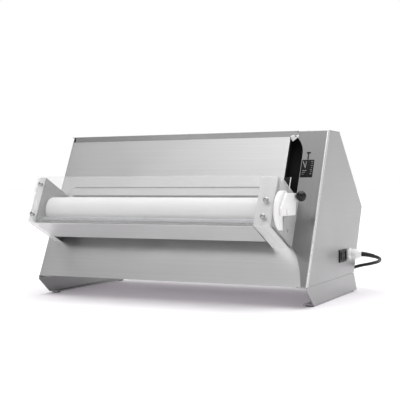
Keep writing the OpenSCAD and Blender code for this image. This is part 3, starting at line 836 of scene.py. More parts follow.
@dataclass(frozen=True)
class Cabinet:
    """Folded sheet housing: panels, folds, covers, slot, scale and feet."""

    half: float = 345.0
    sheet: float = 1.5
    fold: float = 4.0
    slide_s: Pair = (238.0, 366.0)
    slide_edge_x: float = 253.5
    strip_x: float = 289.9
    strip_split: float = 320.0
    strip_top: float = 379.0
    strip_waist: tuple[Pair, ...] = ((289.9, 96.0), (297.2, 92.0), (312.4, 66.8), (322.0, 39.6),
                                     (330.0, 1.0))
    plate_x: Pair = (254.2, 269.0)
    plate_s: Pair = (218.5, 262.0)
    tab: tuple[Pair, ...] = ((261.3, 354.2), (273.0, 365.5), (270.6, 376.0), (254.2, 365.2))
    tab_screw: Pair = (266.5, 366.2)
    cover_screws_x: Point = (-285.0, -20.0, 262.0)
    pad_x: Pair = (-332.0, 332.0)
    pad_y: Pair = (-124.0, 190.0)

    def trimmed(self, points: np.ndarray) -> np.ndarray:
        """Draw a front sheet's outer edges in to where the folds begin.

        Args:
            points: rows of the sheet's points, in metres.

        Returns:
            The moved rows.
        """
        moved = points.copy()
        edge = np.abs(moved[:, 0]) > (self.half - 0.6) * MM
        moved[edge, 0] = np.sign(moved[edge, 0]) * (self.half - self.fold) * MM
        right = np.abs(moved[:, 0] - self.slide_edge_x * MM) < 0.1 * MM
        moved[right, 0] -= 1.5 * MM
        return moved

    def set_back(self, points: np.ndarray) -> np.ndarray:
        """Draw a side sheet's front edge back to where the fold ends.

        Args:
            points: rows of the sheet's points, in metres.

        Returns:
            The moved rows.
        """
        moved = points.copy()
        front = SLOPE.offset_of(points) > -6.0
        moved[front, 1] += (self.fold - self.sheet) / math.cos(SLOPE.lean) * MM
        return moved

    def fold_strip(self, name: str, x: float, side: float, s0: float | None, s1: float | None,
                   r: float, finish: Finish) -> None:
        """Make a quarter-round fold that runs up the slope.

        Its section is a quarter ring of the sheet's thickness: at angle a it is at
        x - side r (1 - sin a) and n = -r (1 - cos a), on the outside.

        Args:
            name: the piece's name.
            x: the outer face's x.
            side: 1 where the outside is towards +X, and -1 towards -X.
            s0: its lower end, or None for the level of the slope's foot.
            s1: its upper end, or None for the level of the top.
            r: outer radius.
            finish: its finish.
        """
        a = np.linspace(0, np.pi / 2, 9)
        ring = []
        for radius in (r, max(r - self.sheet, 0.2)):
            ring.append(np.column_stack([x - side * (r - radius * np.sin(a)), -(r - radius * np.cos(a))]))
        section = np.concatenate([ring[0], ring[1][::-1]])
        ends = []
        for s, level in ((s0, SLOPE.foot_z), (s1, SLOPE.top_z)):
            along = [SLOPE.s_at_level(level, n) if s is None else s for n in section[:, 1]]
            ends.append(SLOPE.place(np.column_stack([section[:, 0], along, section[:, 1]])))
        dress(lofted(name, np.stack(ends)), finish)

    def build_shell(self) -> None:
        """Make the panels and the folds between them."""
        # Painted light and shade: the side, hood, feed lip and cover sheets take darker copies of the same
        # stainless, and the bottom plate a lighter one.
        for node in ("front_panel", "feed_slide"):
            softened(node, Finish.FRONT_SHEET, 0.3, 1, self.trimmed)
        for node in ("left_side_panel", "right_side_panel"):
            softened(node, Finish.SIDE_SHEET, 0.4, 2, self.set_back)
        softened("rear_hood", Finish.HOOD_SHEET, 0.4, 2)
        softened("rear_cover", Finish.FRONT_SHEET, 0.4, 2)
        softened("feed_lip", Finish.FEED_SHEET, 0.8, 3)
        softened("top_cover", Finish.COVER_SHEET, 0.4, 2)
        softened("bottom_plate", Finish.TRAY_SHEET, 0.4, 1)
        self.build_control_strip()
        # The folds take the brightest copy of the sheet, a painted highlight along each fold.
        self.fold_strip("right_front_fold", self.half, 1.0, None, None, self.fold, Finish.FOLD_HIGHLIGHT)
        self.fold_strip("left_front_fold", -self.half, -1.0, None, None, self.fold, Finish.FOLD_HIGHLIGHT)
        self.fold_strip("slide_edge_fold", self.slide_edge_x + 0.4, 1.0, self.slide_s[0] + 19,
                        self.slide_s[1] - 2, 1.9, Finish.FOLD_HIGHLIGHT)

    def build_control_strip(self) -> None:
        """Make the strip that carries the lever and the scale.

        It is two flat outlines that overlap by 0.3 mm, so that each one can be closed by a fan.
        """
        edge = self.half - self.fold
        join = self.strip_split
        foot = self.strip_waist[-1]
        low = np.array([foot, (edge, foot[1]), (edge, join + 0.3), (self.strip_x, join + 0.3),
                        *self.strip_waist[:-1]])
        side = [(edge, s) for s in (join, 340.0, 360.0, self.strip_top)]
        round_corner = arc(229.5, join, 60.4, 43.5, 0, 6)
        high = np.concatenate([np.array([*side, (273.5, self.strip_top)]), round_corner])
        halves = [slab("half", half, 0.2, 0.05, SLOPE.place, 1) for half in (low, high)]
        dress(joined("control_strip", halves), Finish.STRIP_SHEET)

    def build_slot(self) -> None:
        """Make the recess beside the slide, its closing plate and its fold, and the corner tab with its
        screw.
        """
        softened("recess_liner", Finish.RECESS, 0.6, 2)
        plate = slab("slot_plate", rounded_box(*self.plate_x, *self.plate_s, 0.6, 2), self.sheet - 0.1, 0.3,
                     self.lifted(-self.sheet))
        dress(plate, Finish.SCALE)
        self.fold_strip("slot_plate_fold", self.plate_x[1] + 2.0, 1.0, *self.plate_s, 2.0, Finish.FOLD_HIGHLIGHT)
        tab = slab("corner_tab", hull_of_discs(self.tab, 1.4), 1.3, 0.4, self.lifted(0.1))
        dress(tab, Finish.FRONT_SHEET)
        screw = button_screw("corner_tab_screw", SLOPE.point(*self.tab_screw, 1.4), SLOPE.outward(),
                             2.9, 1.5, 1.2)
        dress(screw, Finish.ZINC)

    @staticmethod
    def lifted(lift: float) -> Place:
        """Return a place on the slope's face for rows of x, s and height, raised by lift."""
        return lambda points: SLOPE.place(points + np.array([0.0, 0.0, lift]))

    def build_scale(self) -> None:
        """Make the thickness scale: a plate with a wedge, ticks and a pointer, and no lettering."""
        on_face = self.lifted(0.02)
        plate = slab("scale_base", rounded_box(291, 320, 261, 305, 1.5, 4), 1.0, 0.3, on_face)
        stem = slab("pointer_stem", rounded_box(303, 305.5, 306, 323, 0.5, 2), 1.0, 0.25, on_face)
        bar = slab("pointer_bar", rounded_box(299.5, 309, 321.6, 324.6, 0.6, 2), 1.1, 0.25, on_face)
        dress(joined("scale_plate_finished", [plate, stem, bar]), Finish.SCALE,
              instead_of=("scale_plate",))
        line, tick_end = 0.9, 317.6
        wedge_edge = [(300.4, 284.0), (301.6, 284.6), (294.6, 301.2), (293.2, 301.0)]
        wedge_back = [(300.6, 285.5), (301.4, 285.5), (302.2, 300.5), (301.2, 300.5)]
        outlines = [np.array(wedge_edge), np.array(wedge_back)]
        for i in range(7):
            s = 300.0 - 5.2 * i
            long = 4.6 if i % 2 == 0 else 2.8
            outlines.append(rounded_box(tick_end - long, tick_end, s, s + line, 0.3, 2))
        for i in range(3):
            s = 268.0 + 4.6 * i
            outlines.append(rounded_box(294.5, 299.0 + 3 * i, s, s + line, 0.3, 2))
        marks = [slab("mark", outline, 0.25, 0.06, self.lifted(1.0)) for outline in outlines]
        dress(joined("scale_marks", marks), Finish.MARK)

    def build_feet(self) -> None:
        """Make the feet, pads, bolts and cover screws."""
        for node in ("left_foot", "right_foot"):
            softened(node, Finish.SIDE_SHEET, 0.5, 2)
        profile = [(0.0, 8.6), (0.5, 9.6), (1.0, 10.0), (2.4, 10.0), (3.0, 9.7)]
        pads = [spun("pad", profile, (x * MM, y * MM, 0.0), UP, 40) for x in self.pad_x for y in self.pad_y]
        dress(joined("rubber_pads_finished", pads), Finish.RUBBER, instead_of=("rubber_pads",))
        paint(("foot_bolts",), Finish.ZINC)
        heads = [button_screw("screw", (x * MM, 0.0, SLOPE.top_z * MM), UP, 3.6, 2.0, 1.3)
                 for x in self.cover_screws_x]
        dress(joined("top_cover_screws_finished", heads), Finish.ZINC,
              instead_of=("top_cover_screws",))
        paint(("rear_cover_screws",), Finish.ZINC)

    def build(self) -> None:
        """Make the whole cabinet."""
        self.build_shell()
        self.build_slot()
        self.build_scale()
        self.build_feet()


# ---------- guard ----------


@dataclass(frozen=True)
class Guard:
    """Clear guard: cheeks, front sheet, screws, the steel end block and the tray below."""

    x: Pair = (-322.0, 297.0)
    s: Pair = (88.0, 205.0)
    n: Pair = (124.0, 132.0)
    corner: float = 10.0
    # Widths of the painted light band inside the front sheet's rim, near the bottom and higher up.
    light_band_low: float = 8.0
    light_band_high: float = 4.0
    screws: tuple[Pair, ...] = ((-309.5, 186.0), (-311.0, 109.0), (273.0, 147.0), (272.0, 109.0))
    cheek_screw: Pair = (112.0, 46.0)

    def build_front(self) -> None:
        """Make the clear front sheet, with light painted along its rims: a band of denser, glowing veil
        stands in for the edge's light seen through the face.

        The outline is repeated inwards: by nothing at the edge, by a small chamfer, by the width of the
        light band, and to the middle line. The middle takes the clear finish, the band the painted light
        band, with a brighter copy near the bottom edge, and the chamfer and rim the painted edge highlight.
        """
        x0, x1 = self.x
        s0, s1 = self.s
        corner = self.corner
        outline = np.concatenate([
            arc(x1 - corner, s0 + corner, corner, -90, 0, 8), arc(x1 - 1.0, s1 - 1.0, 1.0, 0, 90, 2),
            arc(x0 + 1.0, s1 - 1.0, 1.0, 90, 180, 2), arc(x0 + corner, s0 + corner, corner, 180, 270, 8)])
        low = np.clip((s0 + 40 - outline[:, 1]) / 30, 0, 1)
        band = self.light_band_high + (self.light_band_low - self.light_band_high) * low
        inner_x = np.clip(outline[:, 0], x0 + band, x1 - band)
        inner_s = np.clip(outline[:, 1], s0 + band, s1 - band)
        chamfer = pulled_in(outline, np.full(len(outline), 0.5))
        inner = np.column_stack([inner_x, inner_s])
        middle = np.column_stack([inner_x, np.full(len(outline), (s0 + s1) / 2)])
        n0, n1 = self.n
        layers = [(middle, n1), (inner, n1), (chamfer, n1), (outline, n1 - 0.5), (outline, n0 + 0.5),
                  (chamfer, n0), (inner, n0), (middle, n0)]
        rings = np.stack([np.column_stack([o, np.full(len(o), n)]) for o, n in layers])
        faces = grid_faces(len(layers), len(outline))
        mesh = bpy.data.meshes.new("guard_front_finished")
        mesh.from_pydata(SLOPE.place(rings.reshape(-1, 3)).tolist(), [], faces.tolist())
        # Painted light: the band faces take the glowing light band, those near the bottom edge its brighter
        # copy, and the chamfer and rim faces the glowing edge highlight.
        kinds = np.repeat([[0], [1], [2], [2], [2], [1], [0]], len(outline), axis=1)
        kinds[(kinds == 1) & (outline[:, 1] < s0 + 0.6 * corner)] = 3
        mesh.polygons.foreach_set("material_index", kinds.ravel())
        merged(mesh)
        piece = add_piece("guard_front_finished", mesh)
        dress(piece, Finish.CLEAR, instead_of=("guard_front",))
        for finish in (Finish.CLEAR_LIGHT_BAND, Finish.CLEAR_EDGE_HIGHLIGHT, Finish.CLEAR_LOW_LIGHT_BAND):
            piece.data.materials.append(material_of(finish))

    def build_cheeks(self) -> None:
        """Make the clear cheeks: the left one's cut edges take the painted light band, the right one's faces
        a lighter, painted-light copy of the veil.
        """
        for node, face, edge in (("left_cheek", Finish.CLEAR, Finish.CLEAR_LIGHT_BAND),
                                 ("right_cheek", Finish.CLEAR_CHEEK, Finish.CLEAR)):
            piece = softened(node, face, 0.6, 2)
            piece.data.materials.append(material_of(edge))
            normals = np.empty(len(piece.data.polygons) * 3)
            piece.data.polygons.foreach_get("normal", normals)
            kinds = (np.abs(normals.reshape(-1, 3)[:, 0]) < 0.5).astype(np.int32)
            piece.data.polygons.foreach_set("material_index", kinds)

    @staticmethod
    def shank(tip: float, full: float, at: Point, axis: Point) -> bpy.types.Object:
        """Make a screw's shank, tip millimetres long behind the head and full width up to full."""
        return spun("shank", [(-tip, 2.2), (-full, 2.45), (0.2, 2.45)], at, axis, 24)

    def build_metal(self) -> None:
        """Make the end plate, end block, tray and screws."""
        # Painted light and shade: the end plate takes a darker copy of the stainless, and the end block and
        # tray lighter ones.
        softened("left_end_plate", Finish.PLATE_SHEET, 0.3, 1)
        softened("right_end_block", Finish.BLOCK_SHEET, 0.4, 2)
        softened("under_tray", Finish.TRAY_SHEET, 0.4, 2)
        screws = []
        outward = SLOPE.outward()
        for x, s in self.screws:
            foot = SLOPE.point(x, s, self.n[1])
            screws.append(button_screw("head", SLOPE.point(x, s, self.n[1] + 0.6), outward, 5.4, 3.2, 1.9))
            screws.append(spun("washer", rounded_rod(0.0, 0.7, 6.4, 0.3, 3), foot, outward, 40))
            screws.append(self.shank(11.5, 11.0, foot, outward))
        dress(joined("guard_screws_finished", screws), Finish.ZINC,
              instead_of=("guard_screws",))
        at = SLOPE.point(self.x[1] + 0.1, *self.cheek_screw)
        cheek_screw = [button_screw("head", at, RIGHT, 4.6, 2.6, 1.7), self.shank(7.4, 7.0, at, RIGHT)]
        dress(joined("cheek_screw_finished", cheek_screw), Finish.ZINC,
              instead_of=("cheek_screw",))

    def build(self) -> None:
        """Make the whole guard."""
        self.build_metal()
        self.build_cheeks()
        self.build_front()


# ---------- rollers and drive ----------


@dataclass(frozen=True)
class Rollers:
    """Two white rollers on steel shafts, with their bearings, gears and scrapers."""

    x: Pair = (-299.0, 248.0)
    r: float = 30.0
    rim: float = 7.0
    collar_r: float = 12.0
    level: float = 208.641
    front_y: float = -190.962
    rear_y: float = -129.962

    def roller(self, name: str, y: float, body: str, node: str) -> None:
        """Make a roller: a turned rod with soft rims and a ring turned into each end face.

        Args:
            name: the piece's name.
            y: the axis's y.
            body: the body it rides on.
            node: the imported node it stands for.
        """
        start, end = self.x
        ring = [(0.8, 9.0), (0.8, 14.0), (2.2, 14.6), (2.2, 19.4), (0.6, 20.0)]
        left = [(start + h, r) for h, r in ring]
        right = [(end - h, r) for h, r in reversed(ring)]
        profile = left + rounded_rod(start, end, self.r, self.rim, 10) + right
        dress(spun(name, profile, (0.0, y * MM, self.level * MM), RIGHT, 96), Finish.ROLLER,
              body, (node,))

    def shaft_collar(self, name: str, y: float, body: str, x: float) -> None:
        """Make the collar that stands between a roller's end and its bearing."""
        profile = rounded_rod(x, x + 2.4, self.collar_r, 0.6, 3)
        dress(spun(name, profile, (0.0, y * MM, self.level * MM), RIGHT, 48), Finish.MACHINED,
              body)

    def build(self) -> None:
        """Make the rollers and finish their drive."""
        self.roller("front_roller_finished", self.front_y, "front_drive", "front_roller")
        self.roller("rear_roller_finished", self.rear_y, "rear_drive", "rear_roller")
        for name, y, body in (("front_collar_right", self.front_y, "front_drive"),
                              ("rear_collar_right", self.rear_y, "rear_drive")):
            self.shaft_collar(name, y, body, self.x[1] + 0.2)
        paint(("front_shaft", "rear_shaft", "front_gear", "rear_gear", "rear_sprocket", "tie_rod",
               "slider_springs", "motor_shaft", "motor_sprocket", "left_rear_bush", "right_rear_bush"),
              Finish.MACHINED)
        for node in ("left_slider", "right_slider"):
            softened(node, Finish.WHITE, 0.6, 2)
        for node in ("front_scraper", "rear_scraper"):
            softened(node, Finish.TRAY_SHEET, 0.3, 2)
        paint(("drive_chain",), Finish.CHAIN)
        paint(("motor_housing", "gearbox", "motor_bracket"), Finish.ENAMEL)
        paint(("motor_fan_cover", "capacitor", "terminal_box"), Finish.BLACK)


# ---------- thickness lever ----------


@dataclass(frozen=True)
class Lever:
    """White cam-shaped hub and grip block with a black ball knob, on a steel shaft."""

    x: tuple[float, float, float] = (298.0, 308.0, 314.0)
    axis: Pair = (-217.27, 208.641)
    rise: float = 3.3
    hub_r: float = 43.0
    cut: Pair = (-12.3, -7.6)
    block: tuple[Pair, ...] = ((-28.0, -3.4), (49.0, -3.4), (54.8, 27.0), (54.9, 36.0),
                                              (1.0, 37.0), (-31.0, 8.0))
    ball: tuple[float, float, float] = (326.0, 55.0, 33.7)
    ball_r: float = 11.5
    neck_turn: float = 0.36
    nut_r: float = 7.5

    def hub_outline(self) -> np.ndarray:
        """Return the hub's outline in y and z about the axis, anticlockwise.

        It is the disc's arc, closed by the two straight cuts of the notch at the lower back.
        """
        down, across = self.cut
        end = math.degrees(math.asin((across - self.rise) / self.hub_r))
        start = -math.degrees(math.acos(down / self.hub_r))
        rim = arc(0.0, self.rise, self.hub_r, end + 0.6, 360 + start - 0.6, 72)
        low = np.column_stack([np.full(9, down), np.linspace(rim[-1, 1] + 1.0, across - 2.4, 9)])
        notch = arc(down + 2.4, across - 2.4, 2.4, 180, 90, 4)[1:]
        back = np.column_stack([np.linspace(down + 3.4, rim[0, 0] - 1.0, 9), np.full(9, across)])
        return np.concatenate([rim, low, notch, back])

    def build(self) -> None:
        """Make the lever's pieces."""
        y, z = self.axis
        x0, x1, x2 = self.x

        def at(start: float) -> Place:
            """Return a place that puts y, z and depth about the axis, from start along X."""
            return lambda points: from_yz(points + np.array([y, z, start]))

        dress(slab("lever_hub_finished", self.hub_outline(), x1 - x0, 0.9, at(x0)), Finish.WHITE,
              "lever", ("lever_hub",))
        dress(slab("lever_arm_finished", hull_of_discs(self.block, 4.0), x2 - x1, 1.2, at(x1)),
              Finish.WHITE, "lever", ("lever_arm",))
        bx, by, bz = self.ball
        centre = (bx * MM, (y + by) * MM, (z + bz) * MM)
        ball = [(-self.ball_r * math.cos(t), self.ball_r * math.sin(t))
                for t in np.linspace(self.neck_turn, math.pi, 25)]
        neck = [(x2 - bx, 3.4), (x2 - bx + 0.4, 3.6)]
        dress(spun("ball_knob_finished", neck + ball[:-1], centre, RIGHT, 56), Finish.KNOB,
              "lever", ("ball_knob",))
        nut = spun("axle_nut", rounded_rod(0.0, 3.2, self.nut_r, 0.8, 4), (x2 * MM, y * MM, z * MM),
                   RIGHT, 6)
        dress(nut, Finish.WHITE, "lever")
        paint(("lever_shaft",), Finish.MACHINED)


# ---------- switch, gland, cord ----------


@dataclass(frozen=True)
class SwitchAndGland:
    """Rocker switch in its frame, and the gland that the mains lead leaves by."""

    face_x: float = 345.0
    middle: Pair = (87.0, 97.0)
    size: Pair = (58.0, 30.0)
    rim: Pair = (5.2, 4.4)
    pivot_x: float = 342.0
    off_faces: Point = (0.979, 0.206, 0.0)
    gland_at: Pair = (142.0, 98.0)
    across_flats_share: float = 0.88
    rib_depth: float = 0.045
    rib_count: int = 14

    def build_switch(self) -> None:
        """Make the switch's frame and rocker, with the marks for on and off."""
        y, z = self.middle
        w, h = self.size[0] / 2, self.size[1] / 2
        side, end = self.rim
        outer = rounded_box(y - w, y + w, z - h, z + h, 2.5, 5)
        inner = rounded_box(y - w + side, y + w - side, z - h + end, z + h - end, 1.2, 5)
        x = self.face_x
        layers = [(inner, x - 9.0), (inner, x + 1.6), (pulled_in(outer, np.full(len(outer), 1.6)), x + 2.0),
                  (pulled_in(outer, np.full(len(outer), 0.3)), x + 1.5), (outer, x + 0.8), (outer, x)]
        rings = np.stack([np.column_stack([o, np.full(len(o), d)]) for o, d in layers])
        dress(lofted("switch_frame", from_yz(rings)), Finish.BLACK)
        paint(("switch_housing",), Finish.BLACK)
        softened("switch_rocker", Finish.BLACK, 0.7, 3)
        x = self.pivot_x
        ring = spun("off_ring", [(0.0, 2.2), (0.35, 2.2), (0.35, 3.0), (0.0, 3.0)],
                    ((x + 5.02) * MM, (y - 10.0) * MM, z * MM), self.off_faces, 28)
        bar = box_piece("on_bar", (y + 9.0, y + 9.9), (z - 3.0, z + 3.0), (x + 3.2, x + 3.9), from_yz, 0.2)
        dress(joined("switch_marks", [ring, bar]), Finish.MARK, "rocker")

    def build_gland(self) -> None:
        """Make the gland: a six-sided base, a threaded neck and a ribbed dome nut."""
        y, z = self.gland_at
        centre = (self.face_x * MM, y * MM, z * MM)

        base = [(0.0, 9.0), (0.0, 13.6), (0.6, 14.2), (5.2, 14.2), (5.8, 13.4)]
        neck = [(6.0, 10.6), (8.0, 10.6), (8.0, 11.4)]
        nut = [(8.6, 12.3), (12.0, 12.5), (17.0, 12.3), (21.0, 11.8), (24.0, 10.8)]
        dome = [(27.5, 9.2), (30.0, 8.0), (31.6, 7.2), (32.0, 6.0), (31.0, 4.6)]
        first_rib = len(base) + len(neck)

        def ribs(row: np.ndarray, a: np.ndarray) -> np.ndarray:
            """Return a six-sided factor on the base's rows and shallow ribs on the nut's.

            Args:
                row: the profile's row number.
                a: the angle about the gland.

            Returns:
                The factor on the radius.
            """
            hexagon = self.across_flats_share * to_hexagon(a)
            ribbed = 1.0 - self.rib_depth * (0.5 + 0.5 * np.cos(a * self.rib_count))
            on_nut = (row >= first_rib) & (row < first_rib + len(nut))
            return np.where(row < len(base), hexagon, np.where(on_nut, ribbed, 1.0))

        dress(spun("cable_gland_finished", base + neck + nut + dome, centre, RIGHT, 84, ribs),
              Finish.GLAND, "root", ("cable_gland",))

    def build(self) -> None:
        """Make the switch and the gland."""
        self.build_switch()
        self.build_gland()


@dataclass(frozen=True)
class MainsLead:
    """Black 8 mm mains lead: out of the gland, down behind the machine and into a tied coil."""

    diameter: float = 8.0
    route: tuple[Point, ...] = (
        (377.5, 142, 98), (383, 142, 97.7), (390, 143, 96.8), (398, 146.5, 95), (405, 153, 92.5),
        (410, 162, 89.5), (412, 173, 86.5), (411, 185, 83), (407, 198, 79), (400, 211, 75), (390, 224, 71.5),
        (378, 236, 68), (364, 247, 64.5), (349, 257, 61), (334, 266, 57), (319, 274.5, 52), (304, 283, 45.5),
        (290, 291.5, 37.8), (276, 299.8, 29.2), (262, 307.6, 20.6), (249, 314.2, 13.4), (238, 318.8, 8.4),
        (228, 322.4, 5.3))
    centre: Pair = (216.0, 272.5)
    radii: Pair = (52.0, 43.0)
    layers: tuple[float, float, float] = (4.1, 13.1, 23.0)
    exit_turn: float = 3.36
    narrows: Pair = (0.76, 0.98)
    widens: Pair = (2.38, 2.6)
    rises: Pair = (1.56, 1.8)
    last_rise: float = 0.24
    per_turn: int = 72
    inward_r: float = 34.0
    inward_sweep: float = 118.0
    tail: float = 14.0
    tie_angle: float = 205.0
    tie_half: float = 5.0
    sleeve_points: int = 13
    relief_points: int = 11
    length: float = 1.5

    def coil(self) -> np.ndarray:
        """Return the coil's line: two layers of turns, then a low rise inwards over them.

        The angle grows steadily; the radius and the height change by smooth steps, each over a fifth
        of a turn, at places where nothing lies in the way.
        """
        t = np.linspace(0.0, self.exit_turn, int(self.exit_turn * self.per_turn))

        def step(turns: Pair) -> np.ndarray:
            """Return a smooth step from 0 at the first turn given to 1 at the second."""
            u = np.clip((t - turns[0]) / (turns[1] - turns[0]), 0, 1)
            return u * u * (3 - 2 * u)

        outer, inner = self.radii
        low, high, over = self.layers
        r = outer - (outer - inner) * (step(self.narrows) - step(self.widens))
        z = (low + (high - low) * step(self.rises)
             + (over - high) * step((self.exit_turn - self.last_rise, self.exit_turn)))
        a = np.pi / 2 + 2 * np.pi * t
        ring = np.column_stack([self.centre[0] + r * np.cos(a), self.centre[1] + r * np.sin(a), z])
        hub = np.array([self.centre[0], self.centre[1]]) + (outer - self.inward_r) * np.array(
            [math.cos(a[-1]), math.sin(a[-1])])
        sweep = a[-1] + np.radians(np.linspace(3, self.inward_sweep, 26))
        turn_in = np.column_stack([hub[0] + self.inward_r * np.cos(sweep),
                                   hub[1] + self.inward_r * np.sin(sweep), np.full(26, over)])
        along = np.linspace(4, self.tail, 4)
        heading = np.array([-math.sin(sweep[-1]), math.cos(sweep[-1])])
        straight = np.column_stack([turn_in[-1, 0] + heading[0] * along,
                                    turn_in[-1, 1] + heading[1] * along, np.full(4, over)])
        return np.concatenate([ring, turn_in, straight])

    @staticmethod
    def ribbed(start: float, end: float, depth: float, count: int) -> np.ndarray:
        """Return count radii that run from start to end, by turns depth more and depth less."""
        return np.linspace(start, end, count) + depth * np.where(np.arange(count) % 2 == 0, 1.0, -1.0)

    def line(self) -> np.ndarray:
        """Return the whole line in millimetres, about 3 mm apart.

        Each span of the route is a Catmull-Rom cubic through its points.
        """
        coil = self.coil()
        knots = np.concatenate([np.array(self.route, dtype=float), coil[:3]])
        knots = np.concatenate([2 * knots[:1] - knots[1:2], knots])
        p0, p1, p2, p3 = knots[:-3], knots[1:-2], knots[2:-1], knots[3:]
        u = np.linspace(0, 1, 8, endpoint=False)[None, :, None]
        p0, p1, p2, p3 = (p[:, None, :] for p in (p0, p1, p2, p3))
        spans = 0.5 * (2 * p1 + (p2 - p0) * u + (2 * p0 - 5 * p1 + 4 * p2 - p3) * u ** 2
                       + (3 * p1 - p0 - 3 * p2 + p3) * u ** 3)
        points = np.concatenate([spans.reshape(-1, 3), coil[1:]])
        gaps = np.linalg.norm(np.diff(points, axis=0), axis=1)
        reach = np.concatenate([[0.0], np.cumsum(gaps)])
        even = np.linspace(0.0, reach[-1], int(reach[-1] / 2.5))
        return np.column_stack([np.interp(even, reach, points[:, i]) for i in range(3)])

    def tube(self, name: str, line: np.ndarray, radii: np.ndarray, sides: int = 14) -> bpy.types.Object:
        """Carry a circle along a line that is never upright.

        At each point the circle's two directions are the one square to the line and to Z, and the
        one square to that and to the line.

        Args:
            name: the piece's name.
            line: rows of points in millimetres.
            radii: the radius at each point.
            sides: points about the line.

        Returns:
            The tube, closed at both ends.
        """
        along = np.gradient(line, axis=0)
        along /= np.linalg.norm(along, axis=1, keepdims=True)
        side = np.cross(np.array(UP), along)
        side /= np.linalg.norm(side, axis=1, keepdims=True)
        up = np.cross(along, side)
        a = np.linspace(0, 2 * np.pi, sides, endpoint=False)
        rings = line[:, None] + radii[:, None, None] * (np.cos(a)[None, :, None] * side[:, None]
                                                        + np.sin(a)[None, :, None] * up[:, None])
        return lofted(name, rings * MM)

    def build_plug(self, line: np.ndarray) -> list[bpy.types.Object]:
        """Make the two-pin plug on the end of the lead.

        The body's sections are rounded boxes: a corner's share of the circle grows towards the tail.

        Args:
            line: the lead's line.

        Returns:
            The plug's pieces.
        """
        end = line[-1]
        heading = line[-1] - line[-4]
        heading /= np.linalg.norm(heading)
        side = np.cross(np.array(UP), heading)
        up = np.cross(heading, side)

        def at(rows: np.ndarray) -> np.ndarray:
            """Place rows of across, up and along at the lead's end."""
            return (end + rows[..., 0:1] * side + rows[..., 1:2] * up + rows[..., 2:3] * heading) * MM

        sizes = ((-1.0, 5.4, 5.4), (0.0, 6.6, 6.2), (5.0, 8.6, 7.4), (12.0, 11.6, 8.6), (19.0, 13.6, 9.2),
                 (27.0, 14.0, 9.4), (29.2, 13.8, 9.2), (30.0, 13.0, 8.4))
        a = np.linspace(0, 2 * np.pi, 48, endpoint=False)
        rings = []
        for along, half_w, half_h in sizes:
            power = 2.0 / (2.0 + 1.4 * min(max(along, 0.0) / 15.0, 1.0))
            rings.append(np.column_stack([
                half_w * np.sign(np.cos(a)) * np.abs(np.cos(a)) ** power,
                half_h * np.sign(np.sin(a)) * np.abs(np.sin(a)) ** power, np.full(len(a), along)]))
        body = lofted("plug_body", at(np.stack(rings)))
        dress(body, Finish.CORD, "root", ("plug",))
        pin = [(0.0, 2.4), (17.0, 2.4), (18.4, 1.8), (19.0, 0.8)]
        feet = at(np.array([[-7.0, 0.0, 29.5], [7.0, 0.0, 29.5]]))
        pins = dress(joined("plug_pins", [spun("pin", pin, tuple(foot), heading, 20) for foot in feet]),
                     Finish.ZINC)
        ribs = self.ribbed(4.7, 5.9, 0.25, self.relief_points)
        relief = dress(self.tube("plug_relief", line[-self.relief_points:], ribs, 20), Finish.CORD)
        return [body, pins, relief]

    def build_tie(self) -> bpy.types.Object:
        """Make the tie: a band of woven tape round the bundle of turns."""
        outer, inner = self.radii
        r = self.diameter / 2
        section = rounded_box(inner - r - 0.6, outer + r + 0.6, 0.15, self.layers[1] + r + 0.7, 5.0, 5)
        inside = pulled_in(section, np.full(len(section), 0.5))
        angle = math.radians(self.tie_angle)
        away = np.array([math.cos(angle), math.sin(angle), 0.0])
        across = np.array([-math.sin(angle), math.cos(angle), 0.0])
        centre = np.array([self.centre[0], self.centre[1], 0.0])

        def ring(shape: np.ndarray, offset: float) -> np.ndarray:
            """Place a section of radius and height at an offset across the bundle."""
            return centre + shape[:, :1] * away + shape[:, 1:] * np.array(UP) + offset * across

        half = self.tie_half
        rings = [ring(inside, -half), ring(section, -half), ring(section, half), ring(inside, half),
                 ring(inside, -half)]
        band = surface("coil_tie", np.concatenate(rings) * MM, grid_faces(len(rings), len(section)))
        return dress(band, Finish.TIE)

    def build(self) -> None:
        """Make the lead, its strain relief, its plug and its tie."""
        line = self.line()
        length = float(np.linalg.norm(np.diff(line, axis=0), axis=1).sum()) * MM
        LOG.info("lead %.4f m", length)
        lead = self.tube("mains_lead", line, np.full(len(line), self.diameter / 2))
        dress(lead, Finish.CORD, "root", ("power_cord", "cord_coil"))
        ribs = self.ribbed(5.9, 4.6, 0.3, self.sleeve_points)
        sleeve = dress(self.tube("strain_relief", line[:self.sleeve_points], ribs, 20), Finish.CORD)
        pieces = [sleeve] + self.build_plug(line) + [self.build_tie()]


# ---------- studio ----------


@dataclass(frozen=True)
class Lobe:
    """A soft patch of light on the dome, round a direction."""

    azimuth: float
    elevation: float
    strength: float
    outer: float
    inner: float

    def direction(self) -> Point:
        """Return the patch's middle; azimuth runs from -Y towards -X, in degrees."""
        a, e = math.radians(self.azimuth), math.radians(self.elevation)
        return (-math.sin(a) * math.cos(e), -math.cos(a) * math.cos(e), math.sin(e))


